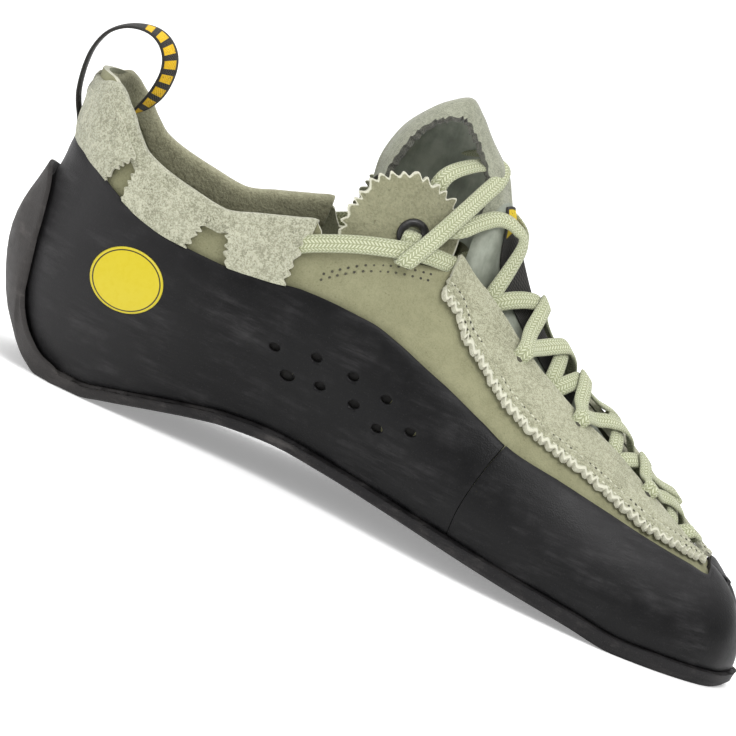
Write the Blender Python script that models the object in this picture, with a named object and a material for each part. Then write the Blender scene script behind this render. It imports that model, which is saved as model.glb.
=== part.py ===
"""A left climbing shoe: a hollow lasted upper, rubber rands, a wrapped outsole and flat lacing.

X runs from heel to toe, Y to the outer side of the foot, Z up. The origin lies on the floor under
the flat of the heel. Lengths in the tables are shares of the named sizes.
"""
import bisect
import math
from collections import namedtuple

import bmesh
import bpy
from mathutils import Vector

MM = 0.001

# Driving sizes, in metres
LENGTH = 240 * MM
BALL_WIDTH = 88 * MM
ANKLE_HEIGHT = 100 * MM
ORIGIN_FROM_HEEL = 31 * MM
UPPER_WALL = 1.8 * MM
FIT = 0.3 * MM
SOLE_THICKNESS = 5 * MM
SOLE_PROUD = 0.8 * MM
BAND_THICKNESS = 2.8 * MM
BAND_GAP = 1.6 * MM
RAND_THICKNESS = 2.0 * MM
PAD_THICKNESS = 1.8 * MM
EYESTAY_THICKNESS = 2.0 * MM
# Least height of the eyestay, a share of the wall's height
EYESTAY_LEAST = 0.09
FLAP_THICKNESS = 1.6 * MM
TONGUE_THICKNESS = 2.2 * MM
# How far the tongue stands up out of the top of the throat
TONGUE_RISE = 3.0 * MM
INSOLE_THICKNESS = 2.0 * MM
BADGE_THICKNESS = 0.6 * MM
LACE_WIDTH = 5.4 * MM
LACE_THICKNESS = 1.4 * MM
LOOP_WIDTH = 8.0 * MM
LOOP_THICKNESS = 1.2 * MM
EYELET_RADIUS = 4.4 * MM
EYELET_HOLE = 2.9 * MM
EYELET_HEIGHT = 1.0 * MM
RAND_HOLE_LENGTH = 3.2 * MM
RAND_HOLE_HEIGHT = 2.2 * MM
PINK_PITCH = 4.0 * MM
PINK_DEPTH = 1.5 * MM

# Steps along a quarter of a unit of the section number, and up the wall
RING_STEP = 0.5
WALL_ROWS = 8
RAND_ROWS = 6
BAND_ROWS = 6
BAND_FALL = (1.5, 3.5)

Section = namedtuple("Section", "x y top_x top_y top_z low belly waist neck")
Tread = namedtuple("Tread", "x bottom thickness outer_drop")
Fold = namedtuple("Fold", "ridge_x ridge_y ridge_z near_x near_y near_z far_x far_y far_z")

# x and top_x are shares of LENGTH; y, top_y and the swell of the wall at four heights are shares
# of BALL_WIDTH; top_z is a share of ANKLE_HEIGHT. The first row is the back of the heel.
INNER_SECTIONS = [
    Section(0.067, 0.000, 0.025, 0.000, 1.000, 0.049, 0.084, 0.025, 0.025),
    Section(0.075, -0.091, 0.035, -0.102, 1.000, 0.051, 0.086, 0.032, 0.023),
    Section(0.098, -0.163, 0.065, -0.188, 1.000, 0.055, 0.091, 0.041, 0.020),
    Section(0.129, -0.208, 0.108, -0.233, 1.000, 0.052, 0.086, 0.045, 0.018),
    Section(0.175, -0.234, 0.158, -0.261, 1.000, 0.045, 0.080, 0.045, 0.016),
    Section(0.233, -0.241, 0.221, -0.273, 1.000, 0.041, 0.073, 0.045, 0.014),
    Section(0.300, -0.243, 0.292, -0.278, 1.000, 0.039, 0.073, 0.050, 0.018),
    Section(0.375, -0.250, 0.358, -0.278, 1.010, 0.041, 0.080, 0.061, 0.027),
    Section(0.442, -0.275, 0.421, -0.261, 1.025, 0.051, 0.091, 0.080, 0.034),
    Section(0.508, -0.318, 0.477, -0.159, 1.040, 0.062, 0.103, 0.086, 0.036),
    Section(0.575, -0.375, 0.546, -0.017, 0.930, 0.089, 0.143, 0.136, 0.074),
    Section(0.642, -0.425, 0.621, -0.034, 0.735, 0.080, 0.136, 0.136, 0.074),
    Section(0.708, -0.450, 0.696, -0.057, 0.605, 0.073, 0.130, 0.132, 0.074),
    Section(0.775, -0.455, 0.769, -0.085, 0.508, 0.064, 0.120, 0.123, 0.070),
    Section(0.838, -0.441, 0.831, -0.108, 0.420, 0.052, 0.100, 0.107, 0.068),
    Section(0.892, -0.403, 0.877, -0.125, 0.354, 0.041, 0.082, 0.091, 0.059),
    Section(0.933, -0.352, 0.904, -0.136, 0.317, 0.034, 0.072, 0.082, 0.056),
    Section(0.965, -0.290, 0.921, -0.142, 0.291, 0.028, 0.059, 0.068, 0.047),
    Section(0.983, -0.216, 0.931, -0.148, 0.277, 0.022, 0.045, 0.052, 0.036),
    Section(0.992, -0.136, 0.937, -0.148, 0.263, 0.016, 0.033, 0.037, 0.027),
]
OUTER_SECTIONS = [
    Section(0.075, 0.091, 0.035, 0.102, 1.000, 0.051, 0.086, 0.032, 0.023),
    Section(0.098, 0.163, 0.065, 0.188, 1.000, 0.055, 0.091, 0.041, 0.020),
    Section(0.129, 0.210, 0.108, 0.233, 1.000, 0.052, 0.086, 0.045, 0.018),
    Section(0.175, 0.243, 0.158, 0.261, 1.000, 0.045, 0.080, 0.045, 0.016),
    Section(0.233, 0.273, 0.221, 0.273, 1.000, 0.043, 0.073, 0.045, 0.014),
    Section(0.300, 0.300, 0.292, 0.278, 1.000, 0.043, 0.070, 0.045, 0.018),
    Section(0.375, 0.335, 0.358, 0.278, 1.010, 0.048, 0.080, 0.059, 0.025),
    Section(0.442, 0.375, 0.421, 0.256, 1.025, 0.055, 0.091, 0.074, 0.032),
    Section(0.508, 0.420, 0.477, 0.159, 1.040, 0.064, 0.102, 0.085, 0.034),
    Section(0.575, 0.460, 0.546, -0.017, 0.930, 0.085, 0.148, 0.142, 0.074),
    Section(0.642, 0.482, 0.621, -0.034, 0.735, 0.086, 0.150, 0.148, 0.080),
    Section(0.708, 0.469, 0.696, -0.057, 0.605, 0.082, 0.145, 0.148, 0.085),
    Section(0.775, 0.420, 0.769, -0.085, 0.508, 0.070, 0.132, 0.139, 0.086),
    Section(0.838, 0.333, 0.831, -0.108, 0.420, 0.057, 0.111, 0.123, 0.080),
    Section(0.892, 0.233, 0.877, -0.125, 0.354, 0.045, 0.091, 0.102, 0.068),
    Section(0.933, 0.131, 0.904, -0.136, 0.317, 0.036, 0.077, 0.089, 0.060),
    Section(0.965, 0.034, 0.921, -0.142, 0.291, 0.030, 0.061, 0.070, 0.049),
    Section(0.983, -0.051, 0.931, -0.148, 0.277, 0.023, 0.048, 0.055, 0.039),
]
SWELL_HEIGHTS = (0.0, 0.1, 0.3, 0.55, 0.8, 1.0)

# x is a share of LENGTH, bottom and outer_drop of ANKLE_HEIGHT, thickness of SOLE_THICKNESS
TREADS = [
    Tread(0.042, 0.100, 1.64, 0.000),
    Tread(0.054, 0.070, 1.52, 0.000),
    Tread(0.067, 0.043, 1.38, 0.000),
    Tread(0.075, 0.030, 1.28, 0.000),
    Tread(0.087, 0.015, 1.14, 0.000),
    Tread(0.104, 0.000, 1.06, 0.000),
    Tread(0.158, 0.000, 1.00, 0.000),
    Tread(0.188, 0.017, 1.00, 0.003),
    Tread(0.208, 0.030, 1.00, 0.008),
    Tread(0.250, 0.058, 1.00, 0.018),
    Tread(0.292, 0.084, 1.00, 0.028),
    Tread(0.333, 0.104, 1.00, 0.036),
    Tread(0.396, 0.115, 1.00, 0.040),
    Tread(0.458, 0.105, 1.00, 0.036),
    Tread(0.542, 0.085, 1.00, 0.024),
    Tread(0.625, 0.065, 1.00, 0.010),
    Tread(0.708, 0.043, 1.00, 0.002),
    Tread(0.792, 0.021, 1.00, 0.000),
    Tread(0.858, 0.000, 1.00, 0.000),
    Tread(0.979, 0.000, 1.00, 0.000),
    Tread(1.004, 0.007, 0.92, 0.000),
]

# Side lines: height as a share of ANKLE_HEIGHT against place as a share of LENGTH
COLLAR_LINE = [
    (0.00, 0.865), (0.042, 0.862), (0.050, 0.855), (0.058, 0.838), (0.071, 0.813), (0.083, 0.792),
    (0.100, 0.750), (0.121, 0.710), (0.150, 0.688), (0.188, 0.672), (0.229, 0.660), (0.270, 0.690),
    (0.312, 0.725), (0.335, 0.742), (0.345, 0.720), (0.353, 0.690), (0.375, 0.705), (0.417, 0.735),
    (0.458, 0.752), (0.485, 0.766), (0.495, 0.820), (0.500, 0.900),
]
RAND_LINE = [
    (0.00, 0.667), (0.030, 0.657), (0.042, 0.649), (0.062, 0.627), (0.083, 0.607), (0.104, 0.584),
    (0.146, 0.545), (0.188, 0.528), (0.250, 0.525), (0.312, 0.540), (0.354, 0.558), (0.396, 0.562),
    (0.437, 0.558), (0.479, 0.534), (0.521, 0.501), (0.562, 0.470), (0.604, 0.433), (0.646, 0.396),
    (0.708, 0.373), (0.771, 0.346), (0.833, 0.316), (0.896, 0.288), (0.921, 0.277), (1.0, 0.277),
]
BAND_LINE = [
    (0.0, 0.560), (0.021, 0.555), (0.029, 0.535), (0.035, 0.500), (0.040, 0.450), (0.044, 0.400),
    (0.047, 0.350), (0.050, 0.300), (0.054, 0.250), (0.060, 0.200), (0.071, 0.150), (0.083, 0.115),
    (0.104, 0.075), (0.125, 0.058), (0.146, 0.0), (1.0, 0.0),
]
PINKED_LINE = [
    (0.480, 0.715), (0.503, 0.697), (0.525, 0.667), (0.550, 0.606), (0.575, 0.568), (0.600, 0.526),
    (0.625, 0.490), (0.667, 0.449), (0.708, 0.424), (0.750, 0.399), (0.792, 0.366), (0.833, 0.336),
    (0.875, 0.318), (0.917, 0.302),
]
# Half width of the throat, a share of BALL_WIDTH, against place as a share of LENGTH
THROAT_LINE = [
    (0.480, 0.290), (0.500, 0.200), (0.542, 0.176), (0.583, 0.158), (0.625, 0.150), (0.667, 0.145),
    (0.708, 0.134), (0.750, 0.116), (0.792, 0.104), (0.833, 0.090), (0.875, 0.074), (0.900, 0.052),
    (0.912, 0.018), (0.916, 0.0), (1.0, 0.0),
]
THROAT_START = 0.495
TOE_CAP_START = 0.921
RAND_SEAM = 0.640

EAR_OUTLINE = [
    (0.360, 0.615), (0.362, 0.730), (0.361, 0.800), (0.366, 0.855), (0.374, 0.918), (0.392, 0.953),
    (0.418, 0.978), (0.447, 0.966), (0.470, 0.943), (0.488, 0.898), (0.495, 0.838), (0.495, 0.715),
    (0.474, 0.675), (0.434, 0.635), (0.396, 0.615),
]
EAR_PINKED = (0.360, 0.484, 0.770)
EYELET_PLACE = (0.442, 0.820)
# Rear top, rear foot, front top and front foot of each tunnel pad, shares of LENGTH
PADS = {
    "rear": (0.042, 0.042, 0.113, 0.090),
    "middle": (0.119, 0.117, 0.219, 0.206),
    "front": (0.240, 0.258, 0.330, 0.330),
}
PINK_TOOTH = 0.10
PAD_SEAM = 0.008
BADGE_PLACE = (0.160, 0.374)
BADGE_HALF = (10.8 * MM, 9.2 * MM)
RAND_HOLES = [
    (0.350, 0.380), (0.400, 0.404), (0.448, 0.400), (0.494, 0.382), (0.377, 0.319),
    (0.417, 0.334), (0.462, 0.329), (0.498, 0.296), (0.535, 0.330),
]

# Folds of the tongue's hood from the throat up and back to the collar: x of LENGTH, y of
# BALL_WIDTH, z of ANKLE_HEIGHT, for the ridge, the free near edge and the far edge
HOOD = [
    Fold(0.537, -0.011, 0.962, 0.510, -0.150, 0.835, 0.506, 0.115, 0.820),
    Fold(0.521, -0.006, 1.025, 0.498, -0.125, 0.925, 0.483, 0.125, 0.830),
    Fold(0.506, 0.006, 1.078, 0.490, -0.105, 1.035, 0.462, 0.155, 0.835),
    Fold(0.475, 0.017, 1.135, 0.471, -0.100, 1.105, 0.442, 0.186, 0.840),
    Fold(0.452, 0.023, 1.190, 0.450, -0.105, 1.150, 0.425, 0.188, 0.845),
    Fold(0.431, 0.023, 1.225, 0.431, -0.108, 1.172, 0.412, 0.186, 0.850),
    Fold(0.406, 0.023, 1.188, 0.409, -0.102, 1.146, 0.400, 0.184, 0.855),
    Fold(0.383, 0.028, 1.127, 0.392, -0.097, 1.103, 0.391, 0.182, 0.860),
    Fold(0.367, 0.034, 1.060, 0.382, -0.091, 1.040, 0.384, 0.178, 0.870),
    Fold(0.359, 0.045, 0.970, 0.375, -0.080, 0.960, 0.377, 0.170, 0.880),
    Fold(0.362, 0.057, 0.900, 0.375, -0.068, 0.890, 0.373, 0.165, 0.890),
]

# Route of the pull loop in the plane of symmetry, shares of LENGTH and ANKLE_HEIGHT
LOOP_ROUTE = [
    (0.028, 0.665), (0.022, 0.700), (0.013, 0.740), (0.007, 0.780), (0.003, 0.845), (0.004, 0.905),
    (0.013, 0.960), (0.032, 0.998), (0.056, 1.013), (0.076, 1.002), (0.091, 0.967), (0.097, 0.917),
    (0.095, 0.857), (0.087, 0.807), (0.077, 0.772), (0.068, 0.737),
]
# Lace holes on the two sides of the throat, shares of LENGTH, and the lift of a crossing over the ridge
INNER_HOLES = [0.562, 0.617, 0.667, 0.708, 0.767, 0.812, 0.858]
OUTER_HOLES = [0.608, 0.654, 0.692, 0.735, 0.790, 0.835, 0.875]
LACE_LIFT = 1.8 * MM
LACE_STEP = 0.5 * MM
LACE_END_LIFT = 2.2 * MM
LACE_REACH = 1.12
TOP_STRAND = [
    (0.493, -0.175, 0.960), (0.508, -0.090, 1.058), (0.515, 0.006, 1.092), (0.507, 0.110, 1.064),
    (0.493, 0.195, 0.960),
]
STRAND_OFFSET = 2.4 * MM
RUN_ROUTE = [(0.343, 0.680), (0.375, 0.712), (0.410, 0.745), (0.445, 0.778), (0.486, 0.800)]
RUN_OFFSET = 1.6 * MM

MATERIALS = {
    "rubber": ((0.028, 0.027, 0.029), 0.62),
    "sole_rubber": ((0.040, 0.038, 0.040), 0.68),
    "leather": ((0.335, 0.335, 0.225), 0.80),
    "suede": ((0.470, 0.480, 0.370), 0.92),
    "lining": ((0.260, 0.280, 0.265), 0.75),
    "board": ((0.300, 0.290, 0.230), 0.85),
    "lace": ((0.600, 0.640, 0.480), 0.80),
    "webbing": ((0.018, 0.018, 0.018), 0.70),
    "ring": ((0.015, 0.015, 0.016), 0.40),
    "badge": ((0.720, 0.580, 0.015), 0.50),
}


def clear_scene():
    """Remove every object of the scene."""
    for thing in list(bpy.data.objects):
        bpy.data.objects.remove(thing, do_unlink=True)


def material(name):
    """Return the named material, made on its first use."""
    found = bpy.data.materials.get(name)
    if found:
        return found
    colour, roughness = MATERIALS[name]
    made = bpy.data.materials.new(name)
    made.use_nodes = True
    shader = made.node_tree.nodes["Principled BSDF"]
    shader.inputs["Base Color"].default_value = (*colour, 1.0)
    shader.inputs["Roughness"].default_value = roughness
    shader.inputs["Metallic"].default_value = 0.0
    return made


def smooth_value(places, values, at):
    """Read a smooth curve without overshoot through (place, value) pairs."""
    if at <= places[0]:
        return values[0]
    if at >= places[-1]:
        return values[-1]
    k = bisect.bisect_right(places, at) - 1
    step = places[k + 1] - places[k]
    rise = (values[k + 1] - values[k]) / step

    def slope(j):
        """Give the slope at a point from the rises on its two sides."""
        if j == 0 or j == len(places) - 1:
            return rise
        before = (values[j] - values[j - 1]) / (places[j] - places[j - 1])
        after = (values[j + 1] - values[j]) / (places[j + 1] - places[j])
        if before * after <= 0:
            return 0.0
        return 2 * before * after / (before + after)

    t = (at - places[k]) / step
    start = values[k] * (1 + 2 * t) * (1 - t) ** 2 + slope(k) * step * t * (1 - t) ** 2
    end = values[k + 1] * t * t * (3 - 2 * t) - slope(k + 1) * step * t * t * (1 - t)
    return start + end


def side_height(line, x):
    """Height of a side line at a distance from the heel."""
    places = [LENGTH * place for place, share in line]
    heights = [ANKLE_HEIGHT * share for place, share in line]
    return smooth_value(places, heights, x)


def tread_value(column, x):
    """Read one column of the tread table at a distance from the heel."""
    places = [LENGTH * row.x for row in TREADS]
    return smooth_value(places, [getattr(row, column) for row in TREADS], x)


def outer_share(x, y):
    """How far across the sole a point lies, 0 at the inner edge and 1 at the outer edge."""
    return min(1.0, max(0.0, 0.5 + y / (0.8 * BALL_WIDTH)))


def sole_bottom(x, y):
    """Height of the tread."""
    drop = ANKLE_HEIGHT * tread_value("outer_drop", x) * outer_share(x, y)
    return max(0.0, ANKLE_HEIGHT * tread_value("bottom", x) - drop)


def sole_top(x, y):
    """Height of the face that the upper stands on."""
    return sole_bottom(x, y) + SOLE_THICKNESS * tread_value("thickness", x)


RING = INNER_SECTIONS + list(reversed(OUTER_SECTIONS))
TOE = len(INNER_SECTIONS) - 1
AROUND = len(RING)
_sections = {}


def section(u):
    """Base point, top point, outward direction and swells of the last at section number u."""
    u = u % AROUND
    key = round(u, 6)
    if key in _sections:
        return _sections[key]
    k = int(math.floor(u)) % AROUND
    t = u - math.floor(u)
    rows = [RING[(k + j - 1) % AROUND] for j in range(4)]
    mixed = []
    rates = []
    for a, b, c, d in zip(*rows):
        slope_b = (c - a) / 2
        slope_c = (d - b) / 2
        mixed.append(b * (1 + 2 * t) * (1 - t) ** 2 + slope_b * t * (1 - t) ** 2
                     + c * t * t * (3 - 2 * t) - slope_c * t * t * (1 - t))
        rates.append(6 * t * (t - 1) * b + (1 - t) * (1 - 3 * t) * slope_b
                     + 6 * t * (1 - t) * c + t * (3 * t - 2) * slope_c)
    row = Section(*mixed)
    x = LENGTH * row.x
    y = BALL_WIDTH * row.y
    base = Vector((x, y, sole_top(x, y) + FIT))
    top = Vector((LENGTH * row.top_x, BALL_WIDTH * row.top_y, ANKLE_HEIGHT * row.top_z))
    outward = Vector((BALL_WIDTH * rates[1], -LENGTH * rates[0], 0.0)).normalized()
    chord = (top - base).normalized()
    outward = (outward - chord * outward.dot(chord)).normalized()
    swells = [0.0] + [BALL_WIDTH * part for part in (row.low, row.belly, row.waist, row.neck)] + [0.0]
    _sections[key] = (base, top, outward, swells)
    return _sections[key]


def skin(u, v):
    """Point of the upper's outer face at section u and share v of its height."""
    base, top, outward, swells = section(u)
    return base.lerp(top, v) + outward * swell_at(swells, v)


def swell_at(swells, v):
    """Swell of the wall at a share of its height, a smooth curve through the section's values."""
    places = SWELL_HEIGHTS
    k = min(len(places) - 2, max(0, bisect.bisect_right(places, v) - 1))

    def slope(j):
        """Give the slope at a point of the section's curve."""
        low = max(0, j - 1)
        high = min(len(places) - 1, j + 1)
        return (swells[high] - swells[low]) / (places[high] - places[low])

    step = places[k + 1] - places[k]
    t = (v - places[k]) / step
    start = swells[k] * (1 + 2 * t) * (1 - t) ** 2 + slope(k) * step * t * (1 - t) ** 2
    end = swells[k + 1] * t * t * (3 - 2 * t) - slope(k + 1) * step * t * t * (1 - t)
    return start + end


def directions(u, v):
    """Unit normal and unit upward tangent of the skin."""
    du = 0.02
    dv = 0.005
    low = max(0.0, v - dv)
    high = min(1.0, v + dv)
    up = skin(u, high) - skin(u, low)
    along = skin(u + du, v) - skin(u - du, v)
    return along.cross(up).normalized(), up.normalized()


def last_point(u, v, offset=0.0, drop=0.0):
    """Point at an offset outside the skin, let down along the wall by drop."""
    normal, up = directions(u, v)
    return skin(u, v) + normal * offset - up * drop


def first_crossing(u, keep, offset=0.0, steps=60):
    """Greatest share of the height up to which keep(point) holds without a break."""
    low = 0.0
    high = None
    for k in range(1, steps + 1):
        v = k / steps
        if not keep(last_point(u, v, offset)):
            high = v
            break
        low = v
    if high is None:
        return 1.0
    for _ in range(14):
        middle = (low + high) / 2
        if keep(last_point(u, middle, offset)):
            low = middle
        else:
            high = middle
    return low


def ridge_y(x):
    """Sideways place of the ridge of the instep."""
    rows = INNER_SECTIONS[10:]
    return smooth_value([LENGTH * row.top_x for row in rows], [BALL_WIDTH * row.top_y for row in rows], x)


def below_rim(point):
    """True on the wall of the upper, false in the collar and the throat."""
    if point.x < LENGTH * THROAT_START:
        return point.z < side_height(COLLAR_LINE, point.x)
    half = smooth_value([LENGTH * place for place, share in THROAT_LINE],
                        [BALL_WIDTH * share for place, share in THROAT_LINE], point.x)
    return half <= 0 or abs(point.y - ridge_y(point.x)) > half


def below_rand(point):
    """True where the rubber rand covers the upper."""
    return point.x > LENGTH * TOE_CAP_START or point.z < side_height(RAND_LINE, point.x)


def below_band(point):
    """True where the outsole is carried up the heel."""
    return point.z < side_height(BAND_LINE, point.x)


def ring_numbers(first, last):
    """Section numbers from first to last that keep to the steps of the upper's own ring."""
    steps = range(math.ceil(first / RING_STEP + 0.3), math.floor(last / RING_STEP - 0.3) + 1)
    return [first] + [k * RING_STEP for k in steps] + [last]


def frange(start, end, step):
    """Numbers from start to end in steps near the given one."""
    count = max(1, round((end - start) / step))
    return [start + (end - start) * k / count for k in range(count + 1)]


def find_on_last(side, x, z, offset=0.0):
    """Section and height share of the skin seen at (x, z) from the inner (-1) or outer (1) side."""
    u = TOE * min(0.97, max(0.04, x / LENGTH))
    v = min(0.95, z / ANKLE_HEIGHT)
    for _ in range(24):
        number = u if side < 0 else AROUND - u
        here = last_point(number, v, offset)
        step_u = last_point(number + 0.05 * -side, v, offset) - here
        step_v = last_point(number, min(1.0, v + 0.01), offset) - here
        a, b, c, d = step_u.x / 0.05, step_v.x / 0.01, step_u.z / 0.05, step_v.z / 0.01
        det = a * d - b * c
        if abs(det) < 1e-12:
            break
        dx, dz = x - here.x, z - here.z
        u += max(-0.6, min(0.6, (d * dx - b * dz) / det))
        v += max(-0.15, min(0.15, (a * dz - c * dx) / det))
        u = min(TOE, max(0.0, u))
        v = min(0.985, max(0.0, v))
    return (u if side < 0 else AROUND - u), v


def on_last(side, x, z, offset):
    """Point at an offset outside the skin, seen at (x, z) from the given side."""
    u, v = find_on_last(side, x, z, offset)
    return last_point(u, v, offset)


def add_object(name, mesh, finish):
    """Link a mesh as a named object with its material, moved to the part's origin."""
    for vertex in mesh.vertices:
        vertex.co.x -= ORIGIN_FROM_HEEL
    mesh.materials.append(material(finish))
    mesh.shade_smooth()
    mesh.set_sharp_from_angle(angle=math.radians(40))
    thing = bpy.data.objects.new(name, mesh)
    bpy.context.scene.collection.objects.link(thing)
    return thing


def face_outwards(shape):
    """Turn all faces of a closed shape outwards."""
    bmesh.ops.recalc_face_normals(shape, faces=shape.faces)
    if shape.calc_volume(signed=True) < 0:
        bmesh.ops.reverse_faces(shape, faces=shape.faces)


def shell_solid(name, outer, inner, faces, finish):
    """Close the space between two like sheets: faces index both lists, edges get a wall."""
    shape = bmesh.new()
    keys = {}
    places = []
    for point, back in zip(outer, inner):
        key = (round(point.x, 5), round(point.y, 5), round(point.z, 5))
        if key not in keys:
            keys[key] = (shape.verts.new(point), [])
        keys[key][1].append(back)
        places.append(keys[key])
    for face in faces:
        corners = []
        for index in face:
            vertex = places[index][0]
            if vertex not in corners:
                corners.append(vertex)
        if len(corners) > 2 and not shape.faces.get(corners):
            shape.faces.new(corners)
    backs = {}
    for vertex, group in keys.values():
        backs[vertex] = shape.verts.new(sum(group, Vector()) / len(group))
    sheet = list(shape.faces)
    rim = [edge for edge in shape.edges if len(edge.link_faces) == 1]
    for face in sheet:
        shape.faces.new([backs[v] for v in reversed(face.verts)])
    for edge in rim:
        loop = edge.link_loops[0]
        a, b = loop.vert, loop.link_loop_next.vert
        shape.faces.new((b, a, backs[a], backs[b]))
    loose = [v for v in shape.verts if not v.link_faces]
    bmesh.ops.delete(shape, geom=loose, context="VERTS")
    bmesh.ops.triangulate(shape, faces=shape.faces)
    face_outwards(shape)
    mesh = bpy.data.meshes.new(name)
    shape.to_mesh(mesh)
    shape.free()
    return add_object(name, mesh, finish)


def grid_faces(columns, rows, closed=False):
    """Faces of a grid stored column after column."""
    faces = []
    for i in range(columns if closed else columns - 1):
        for j in range(rows - 1):
            a = i * rows + j
            b = ((i + 1) % columns) * rows + j
            faces.append((a, b, b + 1, a + 1))
    return faces


def wall_patch(name, numbers, low, high, rows, inner, outer, finish, closed=False):
    """A sheet on the last between two height shares given by functions of the section number."""
    front = []
    back = []
    for u in numbers:
        start, end = low(u), high(u)
        for j in range(rows):
            v = start + (end - start) * j / (rows - 1)
            front.append(last_point(u, v, outer))
            back.append(last_point(u, v, inner))
    return shell_solid(name, front, back, grid_faces(len(numbers), rows, closed), finish)


def fan_patch(name, side, centre, outline, rings, inner, outer, finish, hole=0.0):
    """A patch on the last from its centre, or a round hole there, out to a star-shaped outline."""
    front = []
    back = []
    count = len(outline)
    for x, z in outline:
        reach = math.hypot(x - centre[0], z - centre[1])
        for share in rings:
            part = share if hole == 0.0 else (hole + (reach - hole) * share) / reach
            px = centre[0] + (x - centre[0]) * part
            pz = centre[1] + (z - centre[1]) * part
            front.append(on_last(side, px, pz, outer))
            back.append(on_last(side, px, pz, inner))
    faces = grid_faces(count, len(rings), closed=True)
    return shell_solid(name, front, back, faces, finish)


def resample(points, pitch, closed=True):
    """Points at an even pitch along an outline."""
    ends = points + [points[0]] if closed else points
    lengths = [math.dist(a, b) for a, b in zip(ends, ends[1:])]
    total = sum(lengths)
    count = max(3, round(total / pitch))
    found = []
    for k in range(count if closed else count + 1):
        target = total * k / count
        j = 0
        while j < len(lengths) - 1 and target > lengths[j]:
            target -= lengths[j]
            j += 1
        t = min(1.0, target / lengths[j])
        found.append(tuple(p + (q - p) * t for p, q in zip(ends[j], ends[j + 1])))
    return found


def make_upper():
    """Hollow upper: one wall around the foot, open at collar, throat and underneath."""
    numbers = frange(0, AROUND, RING_STEP)[:-1]
    tops = {u: first_crossing(u, below_rim) for u in numbers}
    return wall_patch("upper", numbers, lambda u: 0.0, tops.get, WALL_ROWS, -UPPER_WALL, 0.0,
                      "leather", closed=True)


def seam_number(side):
    """Section number of the upright seam between the rear and toe rands."""
    number, _ = find_on_last(side, LENGTH * RAND_SEAM, 0.25 * ANKLE_HEIGHT)
    return number


def rand_gap():
    """Half of the gap at the rand seam, in section numbers."""
    return 0.5 * FIT / (LENGTH * 0.067)


def make_rear_rand():
    """Rubber around heel and arch, cut through by the holes on the inner side."""
    first = seam_number(1) - AROUND + rand_gap()
    last = seam_number(-1) - rand_gap()
    numbers = ring_numbers(first, last)
    rand = wall_patch("rear_rand", numbers, lambda u: 0.0, lambda u: first_crossing(u, below_rand), RAND_ROWS,
                      1.4 * FIT, FIT + RAND_THICKNESS, "rubber")
    for k, (x, z) in enumerate(RAND_HOLES):
        cut_rand_hole(rand, k, LENGTH * x, ANKLE_HEIGHT * z)
    return rand


def cut_rand_hole(rand, index, x, z):
    """Cut one oval hole through the rand, square to the inner side."""
    place = on_last(-1, x, z, FIT)
    shape = bmesh.new()
    bmesh.ops.create_cone(shape, cap_ends=True, segments=8, radius1=1.0, radius2=1.0, depth=1.0)
    for vertex in shape.verts:
        u, v, depth = vertex.co
        vertex.co = Vector((place.x - ORIGIN_FROM_HEEL + u * RAND_HOLE_LENGTH / 2,
                            place.y - depth * 3 * RAND_THICKNESS, place.z + v * RAND_HOLE_HEIGHT / 2))
    face_outwards(shape)
    mesh = bpy.data.meshes.new("hole")
    shape.to_mesh(mesh)
    shape.free()
    cutter = bpy.data.objects.new(f"hole_cutter_{index}", mesh)
    bpy.context.scene.collection.objects.link(cutter)
    cutter.hide_render = True
    cutter.display_type = "WIRE"
    cut = rand.modifiers.new(f"hole_{index}", "BOOLEAN")
    cut.operation = "DIFFERENCE"
    cut.object = cutter


def make_toe_rand():
    """Rubber over the toe, from seam to seam."""
    first = seam_number(-1) + rand_gap()
    last = seam_number(1) - rand_gap()
    numbers = ring_numbers(first, last)
    return wall_patch("toe_rand", numbers, lambda u: 0.0, lambda u: first_crossing(u, below_rand), RAND_ROWS,
                      1.4 * FIT, FIT + RAND_THICKNESS, "rubber")


def sole_edge_offset(u):
    """Distance of the outsole's outer face from the upper, greater at the heel band."""
    x = skin(u, 0.0).x
    start, end = 0.10 * LENGTH, 0.17 * LENGTH
    share = min(1.0, max(0.0, (end - x) / (end - start)))
    share = share * share * (3 - 2 * share)
    return 2 * FIT + RAND_THICKNESS + SOLE_PROUD + (BAND_THICKNESS - SOLE_PROUD) * share


def sole_numbers():
    """Section numbers of the outsole's ribs, closer together where the band falls to the sole."""
    start, end = BAND_FALL
    return (frange(0, start, RING_STEP) + frange(start, end, RING_STEP / 2)[1:-1]
            + frange(end, TOE, RING_STEP))


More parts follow.
